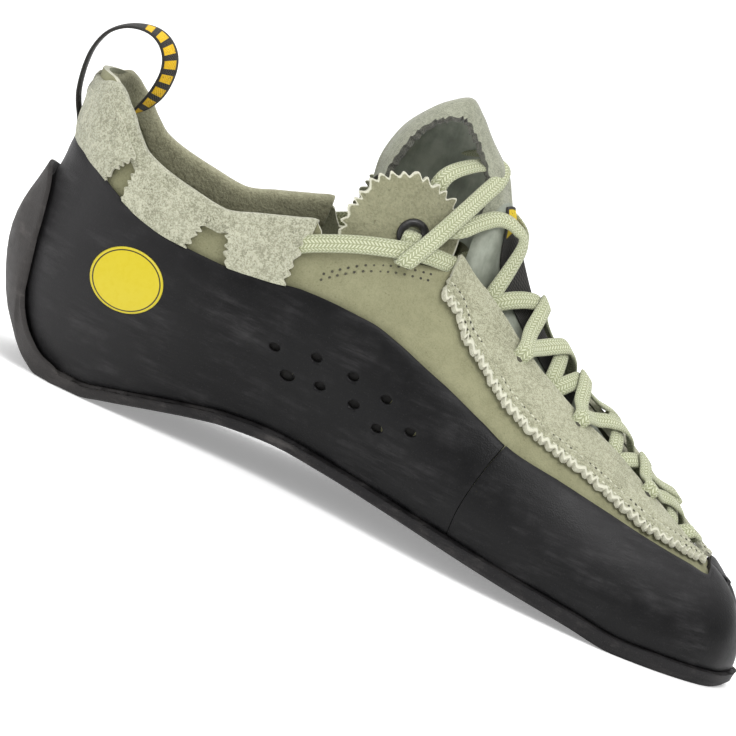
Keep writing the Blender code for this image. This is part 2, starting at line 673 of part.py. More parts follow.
def make_outsole():
    """Rubber sheet under the foot with its band up the heel, ribs of points from edge to edge."""
    half = sole_numbers()
    climb = BAND_ROWS
    across = 4
    bevel = 1.4 * MM
    inner_offset = BAND_GAP + FIT + RAND_THICKNESS
    outer = []
    inner = []

    def side_points(u):
        """Outer and inner points of one side, from the top of the edge down and under."""
        edge = first_crossing(u, below_band, FIT + RAND_THICKNESS)
        rim = sole_edge_offset(u)
        out = [last_point(u, edge * k / climb, rim, FIT) for k in range(climb, -1, -1)]
        back = [last_point(u, edge * k / climb, inner_offset, FIT) for k in range(climb, -1, -1)]
        foot = last_point(u, 0.0, rim - bevel, FIT)
        heel_bend = last_point(u, 0.0, 0.0, FIT)
        share = 1 - min(1.0, max(0.0, (0.13 * LENGTH - foot.x) / (0.05 * LENGTH)))
        out[-1].z -= share * (SOLE_THICKNESS - bevel) * 0.8
        foot.z = sole_bottom(foot.x, foot.y)
        out.append(foot)
        back.append(heel_bend)
        return out, back

    for u in half:
        left_out, left_in = side_points(u)
        right_out, right_in = side_points(AROUND - u)
        row_out = list(left_out)
        row_in = list(left_in)
        for k in range(1, across):
            t = k / across
            p = left_out[-1].lerp(right_out[-1], t)
            q = left_in[-1].lerp(right_in[-1], t)
            p.z = sole_bottom(p.x, p.y)
            q.z = sole_top(q.x, q.y)
            row_out.append(p)
            row_in.append(q)
        outer += row_out + list(reversed(right_out))
        inner += row_in + list(reversed(right_in))
    rows = 2 * (climb + 2) + across - 1
    return outer, inner, grid_faces(len(half), rows)


def make_outsole_solid():
    """Close the outsole between its tread and the face under the foot."""
    outer, inner, faces = make_outsole()
    shape = bmesh.new()
    fronts = [shape.verts.new(p) for p in outer]
    backs = [shape.verts.new(p) for p in inner]
    rows = len(outer) // len(sole_numbers())
    for face in faces:
        shape.faces.new([fronts[i] for i in face])
        shape.faces.new([backs[i] for i in reversed(face)])
    columns = len(outer) // rows
    for i in range(columns - 1):
        for j in (0, rows - 1):
            a, b = i * rows + j, (i + 1) * rows + j
            shape.faces.new((fronts[a], fronts[b], backs[b], backs[a]))
    bmesh.ops.remove_doubles(shape, verts=shape.verts, dist=0.02 * MM)
    bmesh.ops.dissolve_degenerate(shape, edges=shape.edges, dist=0.005 * MM)
    bmesh.ops.triangulate(shape, faces=shape.faces)
    bmesh.ops.remove_doubles(shape, verts=shape.verts, dist=0.02 * MM)
    loose = [v for v in shape.verts if not v.link_faces]
    bmesh.ops.delete(shape, geom=loose, context="VERTS")
    face_outwards(shape)
    mesh = bpy.data.meshes.new("outsole")
    shape.to_mesh(mesh)
    shape.free()
    return add_object("outsole", mesh, "sole_rubber")


def inside_foot(u):
    """Point level with the foot of the upper, clear inside its leaning wall."""
    normal, _ = directions(u, 0.0)
    normal.z = 0.0
    return skin(u, 0.0) - normal.normalized() * (2 * UPPER_WALL + FIT)


def make_insole():
    """Board in the bottom of the upper, a little clear of its wall."""
    half = frange(1.0, TOE - 1.0, 1.0)
    across = 3
    front = []
    back = []
    for u in half:
        left = inside_foot(u)
        right = inside_foot(AROUND - u)
        for k in range(across + 1):
            p = left.lerp(right, k / across)
            low = sole_top(p.x, p.y) + 2 * FIT
            back.append(Vector((p.x, p.y, low)))
            front.append(Vector((p.x, p.y, low + INSOLE_THICKNESS)))
    return shell_solid("insole", front, back, grid_faces(len(half), across + 1), "board")


def side_name(side):
    """Word for the inner or outer side of the foot."""
    return "inner" if side < 0 else "outer"


def make_pad(side, label, corners):
    """One lace tunnel pad on the collar, pinked at its free end."""
    rows = 5
    columns = 8 if label == "rear" else 5
    rear_top, rear_foot, front_top, front_foot = corners
    front_points = []
    back_points = []
    ends = {}
    for key, x, z in (("rear_top", rear_top, 0.68), ("rear_foot", rear_foot, 0.58),
                      ("front_top", front_top, 0.68), ("front_foot", front_foot, 0.58)):
        ends[key], _ = find_on_last(side, LENGTH * x, ANKLE_HEIGHT * z)
    for i in range(columns):
        s = i / (columns - 1)
        for j in range(rows):
            t = j / (rows - 1)
            begin = ends["rear_foot"] + (ends["rear_top"] - ends["rear_foot"]) * t
            end = ends["front_foot"] + (ends["front_top"] - ends["front_foot"]) * t
            tooth = PINK_TOOTH * (j % 2) * (1 if i == columns - 1 else 0)
            number = begin + (end - begin) * s + tooth * side
            low = first_crossing(number, below_rand) + PAD_SEAM
            high = first_crossing(number, below_rim) - PAD_SEAM
            front_points.append(last_point(number, low + (high - low) * t, FIT + PAD_THICKNESS))
            back_points.append(last_point(number, low + (high - low) * t, 1.5 * FIT))
    return shell_solid(f"tunnel_pad_{label}_{side_name(side)}", front_points, back_points,
                       grid_faces(columns, rows), "suede")


def make_eyestay(side):
    """Strip of suede along the throat with a pinked lower edge."""
    first, _ = find_on_last(side, 0.502 * LENGTH, 0.76 * ANKLE_HEIGHT)
    last, _ = find_on_last(side, 0.875 * LENGTH, 0.36 * ANKLE_HEIGHT)
    count = round(0.40 * LENGTH / PINK_PITCH) * 2
    rows = 3
    front_points = []
    back_points = []
    for i in range(count + 1):
        u = first + (last - first) * i / count
        tooth = PINK_DEPTH * (0.5 if i % 2 else -0.5)

        def under(point):
            """True below the pinked line."""
            return point.z < side_height(PINKED_LINE, point.x) + tooth

        high = first_crossing(u, below_rim) - 0.004
        low = min(first_crossing(u, under), high - EYESTAY_LEAST)
        for j in range(rows):
            v = low + (high - low) * j / (rows - 1)
            front_points.append(last_point(u, v, FIT + EYESTAY_THICKNESS))
            back_points.append(last_point(u, v, 1.5 * FIT))
    return shell_solid(f"eyestay_{side_name(side)}", front_points, back_points,
                       grid_faces(count + 1, rows), "suede")


def make_ear(side):
    """Ear flap beside the ankle, sewn inside the upper, pinked, with a hole for its eyelet."""
    centre = (LENGTH * EYELET_PLACE[0], ANKLE_HEIGHT * EYELET_PLACE[1])
    corners = [(LENGTH * x, ANKLE_HEIGHT * z) for x, z in EAR_OUTLINE]
    outline = []
    for k, (x, z) in enumerate(resample(corners, PINK_PITCH / 2)):
        pinked = z > EAR_PINKED[2] * ANKLE_HEIGHT and x < EAR_PINKED[1] * LENGTH
        if not pinked and k % 2:
            continue
        reach = math.hypot(x - centre[0], z - centre[1])
        grow = 1 + (PINK_DEPTH / 2 / reach if k % 2 else -PINK_DEPTH / 2 / reach) * pinked
        outline.append((centre[0] + (x - centre[0]) * grow, centre[1] + (z - centre[1]) * grow))
    outer = -UPPER_WALL - 2 * FIT
    return fan_patch(f"ear_flap_{side_name(side)}", side, centre, outline, (0.0, 0.45, 1.0),
                     outer - FLAP_THICKNESS, outer, "suede", hole=EYELET_HOLE)


def make_eyelet(side):
    """Ring on the outer face of the ear flap around its hole."""
    centre = (LENGTH * EYELET_PLACE[0], ANKLE_HEIGHT * EYELET_PLACE[1])
    count = 12
    outline = []
    for k in range(count):
        angle = 2 * math.pi * k / count
        outline.append((centre[0] + EYELET_RADIUS * math.cos(angle), centre[1] + EYELET_RADIUS * math.sin(angle)))
    base = -UPPER_WALL
    return fan_patch(f"eyelet_{side_name(side)}", side, centre, outline, (0.0, 1.0),
                     base, base + EYELET_HEIGHT, "ring", hole=EYELET_HOLE)


def make_badge():
    """Plain oval on the inner side of the rear rand."""
    centre = (LENGTH * BADGE_PLACE[0], ANKLE_HEIGHT * BADGE_PLACE[1])
    count = 16
    outline = []
    for k in range(count):
        angle = 2 * math.pi * k / count
        outline.append((centre[0] + BADGE_HALF[0] * math.cos(angle), centre[1] + BADGE_HALF[1] * math.sin(angle)))
    base = 2 * FIT + RAND_THICKNESS
    return fan_patch("side_badge", -1, centre, outline, (0.0, 0.55, 1.0), base, base + BADGE_THICKNESS, "badge")


def curve_through(points, count):
    """Points on a smooth curve through given points, evenly spread between them."""
    found = []
    last = len(points) - 1
    for k in range(count + 1):
        at = last * k / count
        j = min(last - 1, int(at))
        t = at - j
        a, b, c, d = (points[max(0, j - 1)], points[j], points[j + 1], points[min(last, j + 2)])
        found.append(0.5 * (2 * b + (c - a) * t + (2 * a - 5 * b + 4 * c - d) * t * t
                            + (3 * b - a - 3 * c + d) * t ** 3))
    return found


def make_tongue():
    """Curved sheet under the lacing, a hood at its top; solid towards the foot."""
    across = 8
    below = UPPER_WALL + 5 * FIT
    hidden = 0.07
    ribs = []
    numbers = [TOE - 3.2 - 0.62 * k for k in range(10)]
    for row, u in enumerate(numbers):
        rise = TONGUE_RISE * max(0.0, (row - 6) / 3)
        rib = []
        for number in (u, AROUND - u):
            rim = first_crossing(number, below_rim)
            start = max(0.3, rim - hidden)
            side = []
            for k in range(across // 2 + 1):
                share = k / (across // 2)
                side.append(last_point(number, start + (1 - start) * share, -below - FIT * (1 - share) + rise * share ** 2))
            rib.append(side)
        middle = (rib[0][-1] + rib[1][-1]) / 2
        ribs.append(rib[0][:-1] + [middle] + list(reversed(rib[1][:-1])))
    for fold in HOOD:
        scale = (LENGTH, BALL_WIDTH, ANKLE_HEIGHT)
        ridge = Vector([a * b for a, b in zip(fold[0:3], scale)])
        near = Vector([a * b for a, b in zip(fold[3:6], scale)])
        far = Vector([a * b for a, b in zip(fold[6:9], scale)])
        brow = near.lerp(ridge, 0.55) + Vector((0, -0.10 * (ridge - near).length, 0.22 * (ridge - near).length))
        shoulder = ridge.lerp(far, 0.28) + Vector((0, 0.060 * BALL_WIDTH, 0.10 * (ridge - far).length))
        flank = ridge.lerp(far, 0.62) + Vector((0, 0.035 * BALL_WIDTH, 0.02 * (ridge - far).length))
        near_side = curve_through([near, brow, ridge], across // 2)
        far_side = curve_through([ridge, shoulder, flank, far], across // 2)
        ribs.append(near_side + far_side[1:])
    sheet = bmesh.new()
    grid = [[sheet.verts.new(p) for p in rib] for rib in ribs]
    for low, high in zip(grid, grid[1:]):
        for j in range(across):
            sheet.faces.new((low[j], low[j + 1], high[j + 1], high[j]))
    bmesh.ops.recalc_face_normals(sheet, faces=sheet.faces)
    mesh = bpy.data.meshes.new("tongue")
    sheet.to_mesh(mesh)
    sheet.free()
    top = max(mesh.polygons, key=lambda face: face.center.z if face.center.x > 0.5 * LENGTH else -1)
    if top.normal.z < 0:
        mesh.flip_normals()
    thing = add_object("tongue", mesh, "lining")
    wall = thing.modifiers.new("wall", "SOLIDIFY")
    wall.thickness = TONGUE_THICKNESS
    wall.offset = -1.0
    return thing


def ribbon(name, route, normals, width, thickness, finish):
    """Flat band along a route of points, its faces square to the given normals."""
    shape = bmesh.new()
    rings = []
    count = len(route)
    for k in range(count):
        along = (route[min(count - 1, k + 1)] - route[max(0, k - 1)]).normalized()
        normal = (normals[k] - along * normals[k].dot(along)).normalized()
        side = along.cross(normal)
        corners = []
        for a, b in ((-1, -1), (1, -1), (1, 1), (-1, 1)):
            corners.append(shape.verts.new(route[k] + side * (a * width / 2) + normal * (b * thickness / 2)))
        rings.append(corners)
    for low, high in zip(rings, rings[1:]):
        for j in range(4):
            shape.faces.new((low[j], low[(j + 1) % 4], high[(j + 1) % 4], high[j]))
    shape.faces.new(rings[0])
    shape.faces.new(list(reversed(rings[-1])))
    bmesh.ops.triangulate(shape, faces=shape.faces)
    face_outwards(shape)
    mesh = bpy.data.meshes.new(name)
    shape.to_mesh(mesh)
    shape.free()
    return add_object(name, mesh, finish)


def make_pull_loop():
    """Webbing loop sewn to the back of the heel and inside the collar."""
    points = [Vector((LENGTH * x, 0.0, ANKLE_HEIGHT * z)) for x, z in LOOP_ROUTE]
    route = curve_through(points, 22)
    middle = Vector((0.045 * LENGTH, 0.0, 0.90 * ANKLE_HEIGHT))
    normals = []
    for k, point in enumerate(route):
        along = (route[min(22, k + 1)] - route[max(0, k - 1)]).normalized()
        normal = Vector((0, 1, 0)).cross(along)
        if normal.dot(point - middle) < 0:
            normal.negate()
        normals.append(normal)
    return ribbon("pull_loop", route, normals, LOOP_WIDTH, LOOP_THICKNESS, "webbing")


def instep_point(x, share, lift):
    """Point over the closed instep at a distance from the heel; share runs from -1, the inner
    edge of the throat, over the ridge at 0 to 1, the outer edge."""
    side = -1 if share < 0 else 1
    u = ridge_number(x)
    number = u if side < 0 else AROUND - u
    rim = first_crossing(number, below_rim)
    v = 1 - abs(share) * (1 - rim)
    normal, _ = directions(number, min(0.999, v))
    other, _ = directions(AROUND - number, min(0.999, v))
    blend = max(0.0, 1 - abs(share) * 3) / 2
    normal = (normal * (1 - blend) + other * blend).normalized()
    return skin(number, v) + normal * lift, normal


def ridge_number(x):
    """Section number whose top lies at a distance from the heel."""
    rows = INNER_SECTIONS[10:]
    return smooth_value([LENGTH * row.top_x for row in rows], [10.0 + k for k in range(len(rows))], x)


def make_bar(name, start, end, lift):
    """One stretch of lace over the throat, from its inner edge at start to its outer edge at end."""
    steps = 5
    route = []
    normals = []
    for j in range(steps + 1):
        share = LACE_REACH * (2 * j / steps - 1)
        x = start + (end - start) * j / steps
        point, normal = instep_point(x, share, lift + LACE_END_LIFT * share * share)
        route.append(point)
        normals.append(normal)
    return ribbon(name, route, normals, LACE_WIDTH, LACE_THICKNESS, "lace")


def make_lace_crossings():
    """Lace crossed over the throat from each hole to the next one on the other side."""
    inner = [LENGTH * x for x in INNER_HOLES]
    outer = [LENGTH * x for x in OUTER_HOLES]
    whole = make_bar("lace_crossings", inner[0], outer[1], LACE_LIFT)
    for k in range(len(inner) - 1):
        pairs = [("back", inner[k + 1], outer[k], LACE_LIFT + LACE_STEP)]
        if k:
            pairs.append(("forward", inner[k], outer[k + 1], LACE_LIFT))
        for label, start, end, lift in pairs:
            piece = make_bar(f"{label}_{k}", start, end, lift)
            piece.hide_render = True
            piece.display_type = "WIRE"
            join = whole.modifiers.new(f"{label}_{k}", "BOOLEAN")
            join.operation = "UNION"
            join.object = piece
    return whole


def face_normals(route, middle):
    """Directions away from a middle point, one for each point of a route."""
    return [(point - middle).normalized() for point in route]


def make_lace_top():
    """Strand of lace from the inner ear flap over the top of the tongue to the outer one."""
    foot_x, foot_z = 0.446 * LENGTH, 0.845 * ANKLE_HEIGHT
    knee_x, knee_z = 0.462 * LENGTH, 0.905 * ANKLE_HEIGHT
    ridge = [Vector((LENGTH * x, BALL_WIDTH * y, ANKLE_HEIGHT * z)) for x, y, z in TOP_STRAND]
    points = [on_last(-1, foot_x, foot_z, STRAND_OFFSET), on_last(-1, knee_x, knee_z, STRAND_OFFSET)]
    points += ridge
    points += [on_last(1, knee_x, knee_z, STRAND_OFFSET), on_last(1, foot_x, foot_z, STRAND_OFFSET)]
    route = curve_through(points, 24)
    middle = Vector((0.44 * LENGTH, 0.0, 0.88 * ANKLE_HEIGHT))
    return ribbon("lace_top", route, face_normals(route, middle), LACE_WIDTH, LACE_THICKNESS, "lace")


def make_lace_run(side):
    """Strand of lace from the front tunnel pad along the edge of the upper to the eyestay."""
    points = [on_last(side, LENGTH * x, ANKLE_HEIGHT * z, RUN_OFFSET) for x, z in RUN_ROUTE]
    route = curve_through(points, 10)
    normals = [Vector((0.0, side, 0.1)) for _ in route]
    return ribbon(f"lace_run_{side_name(side)}", route, normals, LACE_WIDTH, LACE_THICKNESS, "lace")


def main():
    """Build the shoe."""
    clear_scene()
    make_upper()
    make_outsole_solid()
    make_insole()
    make_rear_rand()
    make_toe_rand()
    make_badge()
    for side in (-1, 1):
        for label, corners in PADS.items():
            make_pad(side, label, corners)
        make_eyestay(side)
        make_ear(side)
        make_eyelet(side)
        make_lace_run(side)
    make_tongue()
    make_lace_crossings()
    make_lace_top()
    make_pull_loop()


main()
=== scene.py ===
"""Dresses the climbing shoe: leather, suede, rubber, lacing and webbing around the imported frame."""

import bisect
import logging
import math
from collections.abc import Callable, Iterable, Sequence
from dataclasses import dataclass, field
from enum import Enum

import bmesh
import bpy
from mathutils import Matrix, Vector, noise


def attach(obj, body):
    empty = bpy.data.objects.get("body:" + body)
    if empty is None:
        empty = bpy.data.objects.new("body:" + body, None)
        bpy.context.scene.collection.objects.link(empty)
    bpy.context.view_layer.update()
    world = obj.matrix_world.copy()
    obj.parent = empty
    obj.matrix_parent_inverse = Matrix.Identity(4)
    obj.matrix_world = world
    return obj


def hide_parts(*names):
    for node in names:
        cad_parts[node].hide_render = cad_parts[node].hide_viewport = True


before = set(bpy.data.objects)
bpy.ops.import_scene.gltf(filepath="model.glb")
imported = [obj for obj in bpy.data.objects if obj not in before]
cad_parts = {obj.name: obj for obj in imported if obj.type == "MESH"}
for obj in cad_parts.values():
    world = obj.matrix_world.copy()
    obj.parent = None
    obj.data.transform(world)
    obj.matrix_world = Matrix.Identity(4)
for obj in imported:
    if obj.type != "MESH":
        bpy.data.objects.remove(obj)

log = logging.getLogger("shoe")

MM = 0.001
BODY = "root"

Mesh = bmesh.types.BMesh
Socket = bpy.types.NodeSocket
Place = Callable[[float, float], Vector]
Flat = tuple[float, float]
Triple = tuple[float, float, float]
Colour = tuple[float, float, float, float]
Knot = tuple[Vector, Vector]


class Side(Enum):
    """Side of the left foot: the inner side faces the camera."""

    INNER = -1
    OUTER = 1

    @property
    def word(self) -> str:
        """Word for the side in the frame's node names."""
        return self.name.lower()


@dataclass(frozen=True)
class Section:
    """One rib of the last: foot and top of the wall as shares, and four swells up its height."""

    x: float
    y: float
    top_x: float
    top_y: float
    top_z: float
    low: float
    belly: float
    waist: float
    neck: float


@dataclass(frozen=True)
class Tread:
    """One station of the sole: place, height under it, thickness and fall to the outer side."""

    x: float
    bottom: float
    thickness: float
    outer_drop: float


@dataclass(frozen=True)
class Fold:
    """One fold of the tongue's hood: its ridge, its free near edge and its far edge."""

    ridge: Triple
    near: Triple
    far: Triple


ORIGIN_FROM_HEEL = 31 * MM
# Middle of the shoe, from the back of the heel
MIDDLE = Vector((0.11, 0.0, 0.03))

# x and top_x are shares of LENGTH; y, top_y and the swell of the wall at four heights are shares
# of BALL_WIDTH; top_z is a share of ANKLE_HEIGHT. The first row is the back of the heel.
INNER_SECTIONS = [Section(*row) for row in (
    (0.067, 0.000, 0.025, 0.000, 1.000, 0.049, 0.084, 0.025, 0.025),
    (0.075, -0.091, 0.035, -0.102, 1.000, 0.051, 0.086, 0.032, 0.023),
    (0.098, -0.163, 0.065, -0.188, 1.000, 0.055, 0.091, 0.041, 0.020),
    (0.129, -0.208, 0.108, -0.233, 1.000, 0.052, 0.086, 0.045, 0.018),
    (0.175, -0.234, 0.158, -0.261, 1.000, 0.045, 0.080, 0.045, 0.016),
    (0.233, -0.241, 0.221, -0.273, 1.000, 0.041, 0.073, 0.045, 0.014),
    (0.300, -0.243, 0.292, -0.278, 1.000, 0.039, 0.073, 0.050, 0.018),
    (0.375, -0.250, 0.358, -0.278, 1.010, 0.041, 0.080, 0.061, 0.027),
    (0.442, -0.275, 0.421, -0.261, 1.025, 0.051, 0.091, 0.080, 0.034),
    (0.508, -0.318, 0.477, -0.159, 1.040, 0.062, 0.103, 0.086, 0.036),
    (0.575, -0.375, 0.546, -0.017, 0.930, 0.089, 0.143, 0.136, 0.074),
    (0.642, -0.425, 0.621, -0.034, 0.735, 0.080, 0.136, 0.136, 0.074),
    (0.708, -0.450, 0.696, -0.057, 0.605, 0.073, 0.130, 0.132, 0.074),
    (0.775, -0.455, 0.769, -0.085, 0.508, 0.064, 0.120, 0.123, 0.070),
    (0.838, -0.441, 0.831, -0.108, 0.420, 0.052, 0.100, 0.107, 0.068),
    (0.892, -0.403, 0.877, -0.125, 0.354, 0.041, 0.082, 0.091, 0.059),
    (0.933, -0.352, 0.904, -0.136, 0.317, 0.034, 0.072, 0.082, 0.056),
    (0.965, -0.290, 0.921, -0.142, 0.291, 0.028, 0.059, 0.068, 0.047),
    (0.983, -0.216, 0.931, -0.148, 0.277, 0.022, 0.045, 0.052, 0.036),
    (0.992, -0.136, 0.937, -0.148, 0.263, 0.016, 0.033, 0.037, 0.027),
)]
OUTER_SECTIONS = [Section(*row) for row in (
    (0.075, 0.091, 0.035, 0.102, 1.000, 0.051, 0.086, 0.032, 0.023),
    (0.098, 0.163, 0.065, 0.188, 1.000, 0.055, 0.091, 0.041, 0.020),
    (0.129, 0.210, 0.108, 0.233, 1.000, 0.052, 0.086, 0.045, 0.018),
    (0.175, 0.243, 0.158, 0.261, 1.000, 0.045, 0.080, 0.045, 0.016),
    (0.233, 0.273, 0.221, 0.273, 1.000, 0.043, 0.073, 0.045, 0.014),
    (0.300, 0.300, 0.292, 0.278, 1.000, 0.043, 0.070, 0.045, 0.018),
    (0.375, 0.335, 0.358, 0.278, 1.010, 0.048, 0.080, 0.059, 0.025),
    (0.442, 0.375, 0.421, 0.256, 1.025, 0.055, 0.091, 0.074, 0.032),
    (0.508, 0.420, 0.477, 0.159, 1.040, 0.064, 0.102, 0.085, 0.034),
    (0.575, 0.460, 0.546, -0.017, 0.930, 0.085, 0.148, 0.142, 0.074),
    (0.642, 0.482, 0.621, -0.034, 0.735, 0.086, 0.150, 0.148, 0.080),
    (0.708, 0.469, 0.696, -0.057, 0.605, 0.082, 0.145, 0.148, 0.085),
    (0.775, 0.420, 0.769, -0.085, 0.508, 0.070, 0.132, 0.139, 0.086),
    (0.838, 0.333, 0.831, -0.108, 0.420, 0.057, 0.111, 0.123, 0.080),
    (0.892, 0.233, 0.877, -0.125, 0.354, 0.045, 0.091, 0.102, 0.068),
    (0.933, 0.131, 0.904, -0.136, 0.317, 0.036, 0.077, 0.089, 0.060),
    (0.965, 0.034, 0.921, -0.142, 0.291, 0.030, 0.061, 0.070, 0.049),
    (0.983, -0.051, 0.931, -0.148, 0.277, 0.023, 0.048, 0.055, 0.039),
)]
# Number of the first section whose top lies on the ridge of the instep
RIDGE_START = 10
SWELL_HEIGHTS = (0.0, 0.1, 0.3, 0.55, 0.8, 1.0)

# x is a share of LENGTH, bottom and outer_drop of ANKLE_HEIGHT, thickness of SOLE_THICKNESS
TREADS = [Tread(*row) for row in (
    (0.042, 0.100, 1.64, 0.000),
    (0.054, 0.070, 1.52, 0.000),
    (0.067, 0.043, 1.38, 0.000),
    (0.075, 0.030, 1.28, 0.000),
    (0.087, 0.015, 1.14, 0.000),
    (0.104, 0.000, 1.06, 0.000),
    (0.158, 0.000, 1.00, 0.000),
    (0.188, 0.017, 1.00, 0.003),
    (0.208, 0.030, 1.00, 0.008),
    (0.250, 0.058, 1.00, 0.018),
    (0.292, 0.084, 1.00, 0.028),
    (0.333, 0.104, 1.00, 0.036),
    (0.396, 0.115, 1.00, 0.040),
    (0.458, 0.105, 1.00, 0.036),
    (0.542, 0.085, 1.00, 0.024),
    (0.625, 0.065, 1.00, 0.010),
    (0.708, 0.043, 1.00, 0.002),
    (0.792, 0.021, 1.00, 0.000),
    (0.858, 0.000, 1.00, 0.000),
    (0.979, 0.000, 1.00, 0.000),
    (1.004, 0.007, 0.92, 0.000),
)]

# Side lines: height as a share of ANKLE_HEIGHT against place as a share of LENGTH
COLLAR_LINE = [
    (0.00, 0.865), (0.042, 0.862), (0.050, 0.855), (0.058, 0.838), (0.071, 0.813), (0.083, 0.792),
    (0.100, 0.750), (0.121, 0.710), (0.150, 0.688), (0.188, 0.672), (0.229, 0.660), (0.270, 0.690),
    (0.312, 0.725), (0.335, 0.742), (0.345, 0.720), (0.353, 0.690), (0.375, 0.705), (0.417, 0.735),
    (0.458, 0.752), (0.485, 0.766), (0.495, 0.820), (0.500, 0.900),
]
RAND_LINE = [
    (0.00, 0.667), (0.030, 0.657), (0.042, 0.649), (0.062, 0.627), (0.083, 0.607), (0.104, 0.584),
    (0.146, 0.545), (0.188, 0.528), (0.250, 0.525), (0.312, 0.540), (0.354, 0.558), (0.396, 0.562),
    (0.437, 0.558), (0.479, 0.534), (0.521, 0.501), (0.562, 0.470), (0.604, 0.433), (0.646, 0.396),
    (0.708, 0.373), (0.771, 0.346), (0.833, 0.316), (0.896, 0.288), (0.921, 0.277), (1.0, 0.277),
]
BAND_LINE = [
    (0.0, 0.560), (0.021, 0.555), (0.029, 0.535), (0.035, 0.500), (0.040, 0.450), (0.044, 0.400),
    (0.047, 0.350), (0.050, 0.300), (0.054, 0.250), (0.060, 0.200), (0.071, 0.150), (0.083, 0.115),
    (0.104, 0.075), (0.125, 0.058), (0.146, 0.0), (1.0, 0.0),
]
PINKED_LINE = [
    (0.480, 0.715), (0.503, 0.697), (0.525, 0.667), (0.550, 0.606), (0.575, 0.568), (0.600, 0.526),
    (0.625, 0.490), (0.667, 0.449), (0.708, 0.424), (0.750, 0.399), (0.792, 0.366), (0.833, 0.336),
    (0.875, 0.318), (0.917, 0.302),
]
# Half width of the throat, a share of BALL_WIDTH, against place as a share of LENGTH
THROAT_LINE = [
    (0.480, 0.290), (0.500, 0.200), (0.542, 0.176), (0.583, 0.158), (0.625, 0.150), (0.667, 0.145),
    (0.708, 0.134), (0.750, 0.116), (0.792, 0.104), (0.833, 0.090), (0.875, 0.074), (0.900, 0.052),
    (0.912, 0.018), (0.916, 0.0), (1.0, 0.0),
]
THROAT_START = 0.495
TOE_CAP_START = 0.921
RAND_SEAM = 0.640

EAR_OUTLINE = [
    (0.360, 0.615), (0.362, 0.730), (0.361, 0.800), (0.366, 0.855), (0.374, 0.918), (0.392, 0.953),
    (0.418, 0.978), (0.447, 0.966), (0.470, 0.943), (0.488, 0.898), (0.495, 0.838), (0.495, 0.715),
    (0.474, 0.675), (0.434, 0.635), (0.396, 0.615),
]
# The flap's edge is pinked up to this share of the length and above this share of the height
EAR_PINKED = (0.484, 0.770)
EYELET_PLACE = (0.442, 0.820)
# Rear top, rear foot, front top and front foot of each tunnel pad, shares of LENGTH
PADS = {
    "rear": (0.042, 0.042, 0.113, 0.090),
    "middle": (0.119, 0.117, 0.219, 0.206),
    "front": (0.240, 0.258, 0.330, 0.330),
}
BADGE_PLACE = (0.160, 0.374)
BADGE_HALF = (10.8 * MM, 9.2 * MM)
RAND_HOLES = [
    (0.350, 0.380), (0.400, 0.404), (0.448, 0.400), (0.494, 0.382), (0.377, 0.319),
    (0.417, 0.334), (0.462, 0.329), (0.498, 0.296), (0.535, 0.330),
]

# Folds of the tongue's hood from the throat up and back to the collar: x of LENGTH, y of
# BALL_WIDTH, z of ANKLE_HEIGHT, for the ridge, the free near edge and the far edge
HOOD = [Fold(*row) for row in (
    ((0.537, -0.011, 0.962), (0.506, -0.185, 0.790), (0.506, 0.115, 0.820)),
    ((0.521, -0.006, 1.025), (0.498, -0.125, 0.925), (0.483, 0.125, 0.830)),
    ((0.506, 0.006, 1.078), (0.490, -0.105, 1.035), (0.462, 0.155, 0.835)),
    ((0.475, 0.017, 1.135), (0.471, -0.100, 1.105), (0.442, 0.186, 0.840)),
    ((0.452, 0.023, 1.190), (0.450, -0.105, 1.150), (0.425, 0.188, 0.845)),
    ((0.431, 0.023, 1.225), (0.431, -0.108, 1.172), (0.412, 0.186, 0.850)),
    ((0.406, 0.023, 1.188), (0.409, -0.102, 1.146), (0.400, 0.184, 0.855)),
    ((0.383, 0.028, 1.127), (0.392, -0.097, 1.103), (0.391, 0.182, 0.860)),
    ((0.367, 0.034, 1.060), (0.382, -0.091, 1.040), (0.384, 0.178, 0.870)),
    ((0.359, 0.045, 0.970), (0.375, -0.080, 0.960), (0.377, 0.170, 0.880)),
    ((0.362, 0.057, 0.900), (0.375, -0.068, 0.890), (0.373, 0.165, 0.890)),
)]

# Middle line of the pull loop, shares of length and height, up the back and down the front
LOOP_ROUTE = [
    (0.028, 0.665), (0.022, 0.700), (0.013, 0.740), (0.007, 0.780), (0.003, 0.845), (0.004, 0.905),
    (0.013, 0.960), (0.032, 0.998), (0.056, 1.013), (0.076, 1.002), (0.091, 0.967), (0.097, 0.917),
    (0.095, 0.857), (0.087, 0.807), (0.077, 0.772), (0.068, 0.737),
]


def tone(red: int, green: int, blue: int) -> Colour:
    """Scene-linear colour of a screen tone.

    Args:
        red: the red part, from 0 to 255, as green and blue.
        green: the green part.
        blue: the blue part.

    Returns:
        The colour with full opacity.
    """

    def linear(part: int) -> float:
        """One channel made linear."""
        share = part / 255
        return share / 12.92 if share <= 0.04045 else ((share + 0.055) / 1.055) ** 2.4

    return (linear(red), linear(green), linear(blue), 1.0)


def between(t: float, start: float, end: float, rise_in: float, rise_out: float) -> float:
    """Cubic from start to end at a share of a step, with its rises per step at the two ends."""
    value = start * (1 + 2 * t) * (1 - t) ** 2 + rise_in * t * (1 - t) ** 2
    return value + end * t * t * (3 - 2 * t) - rise_out * t * t * (1 - t)


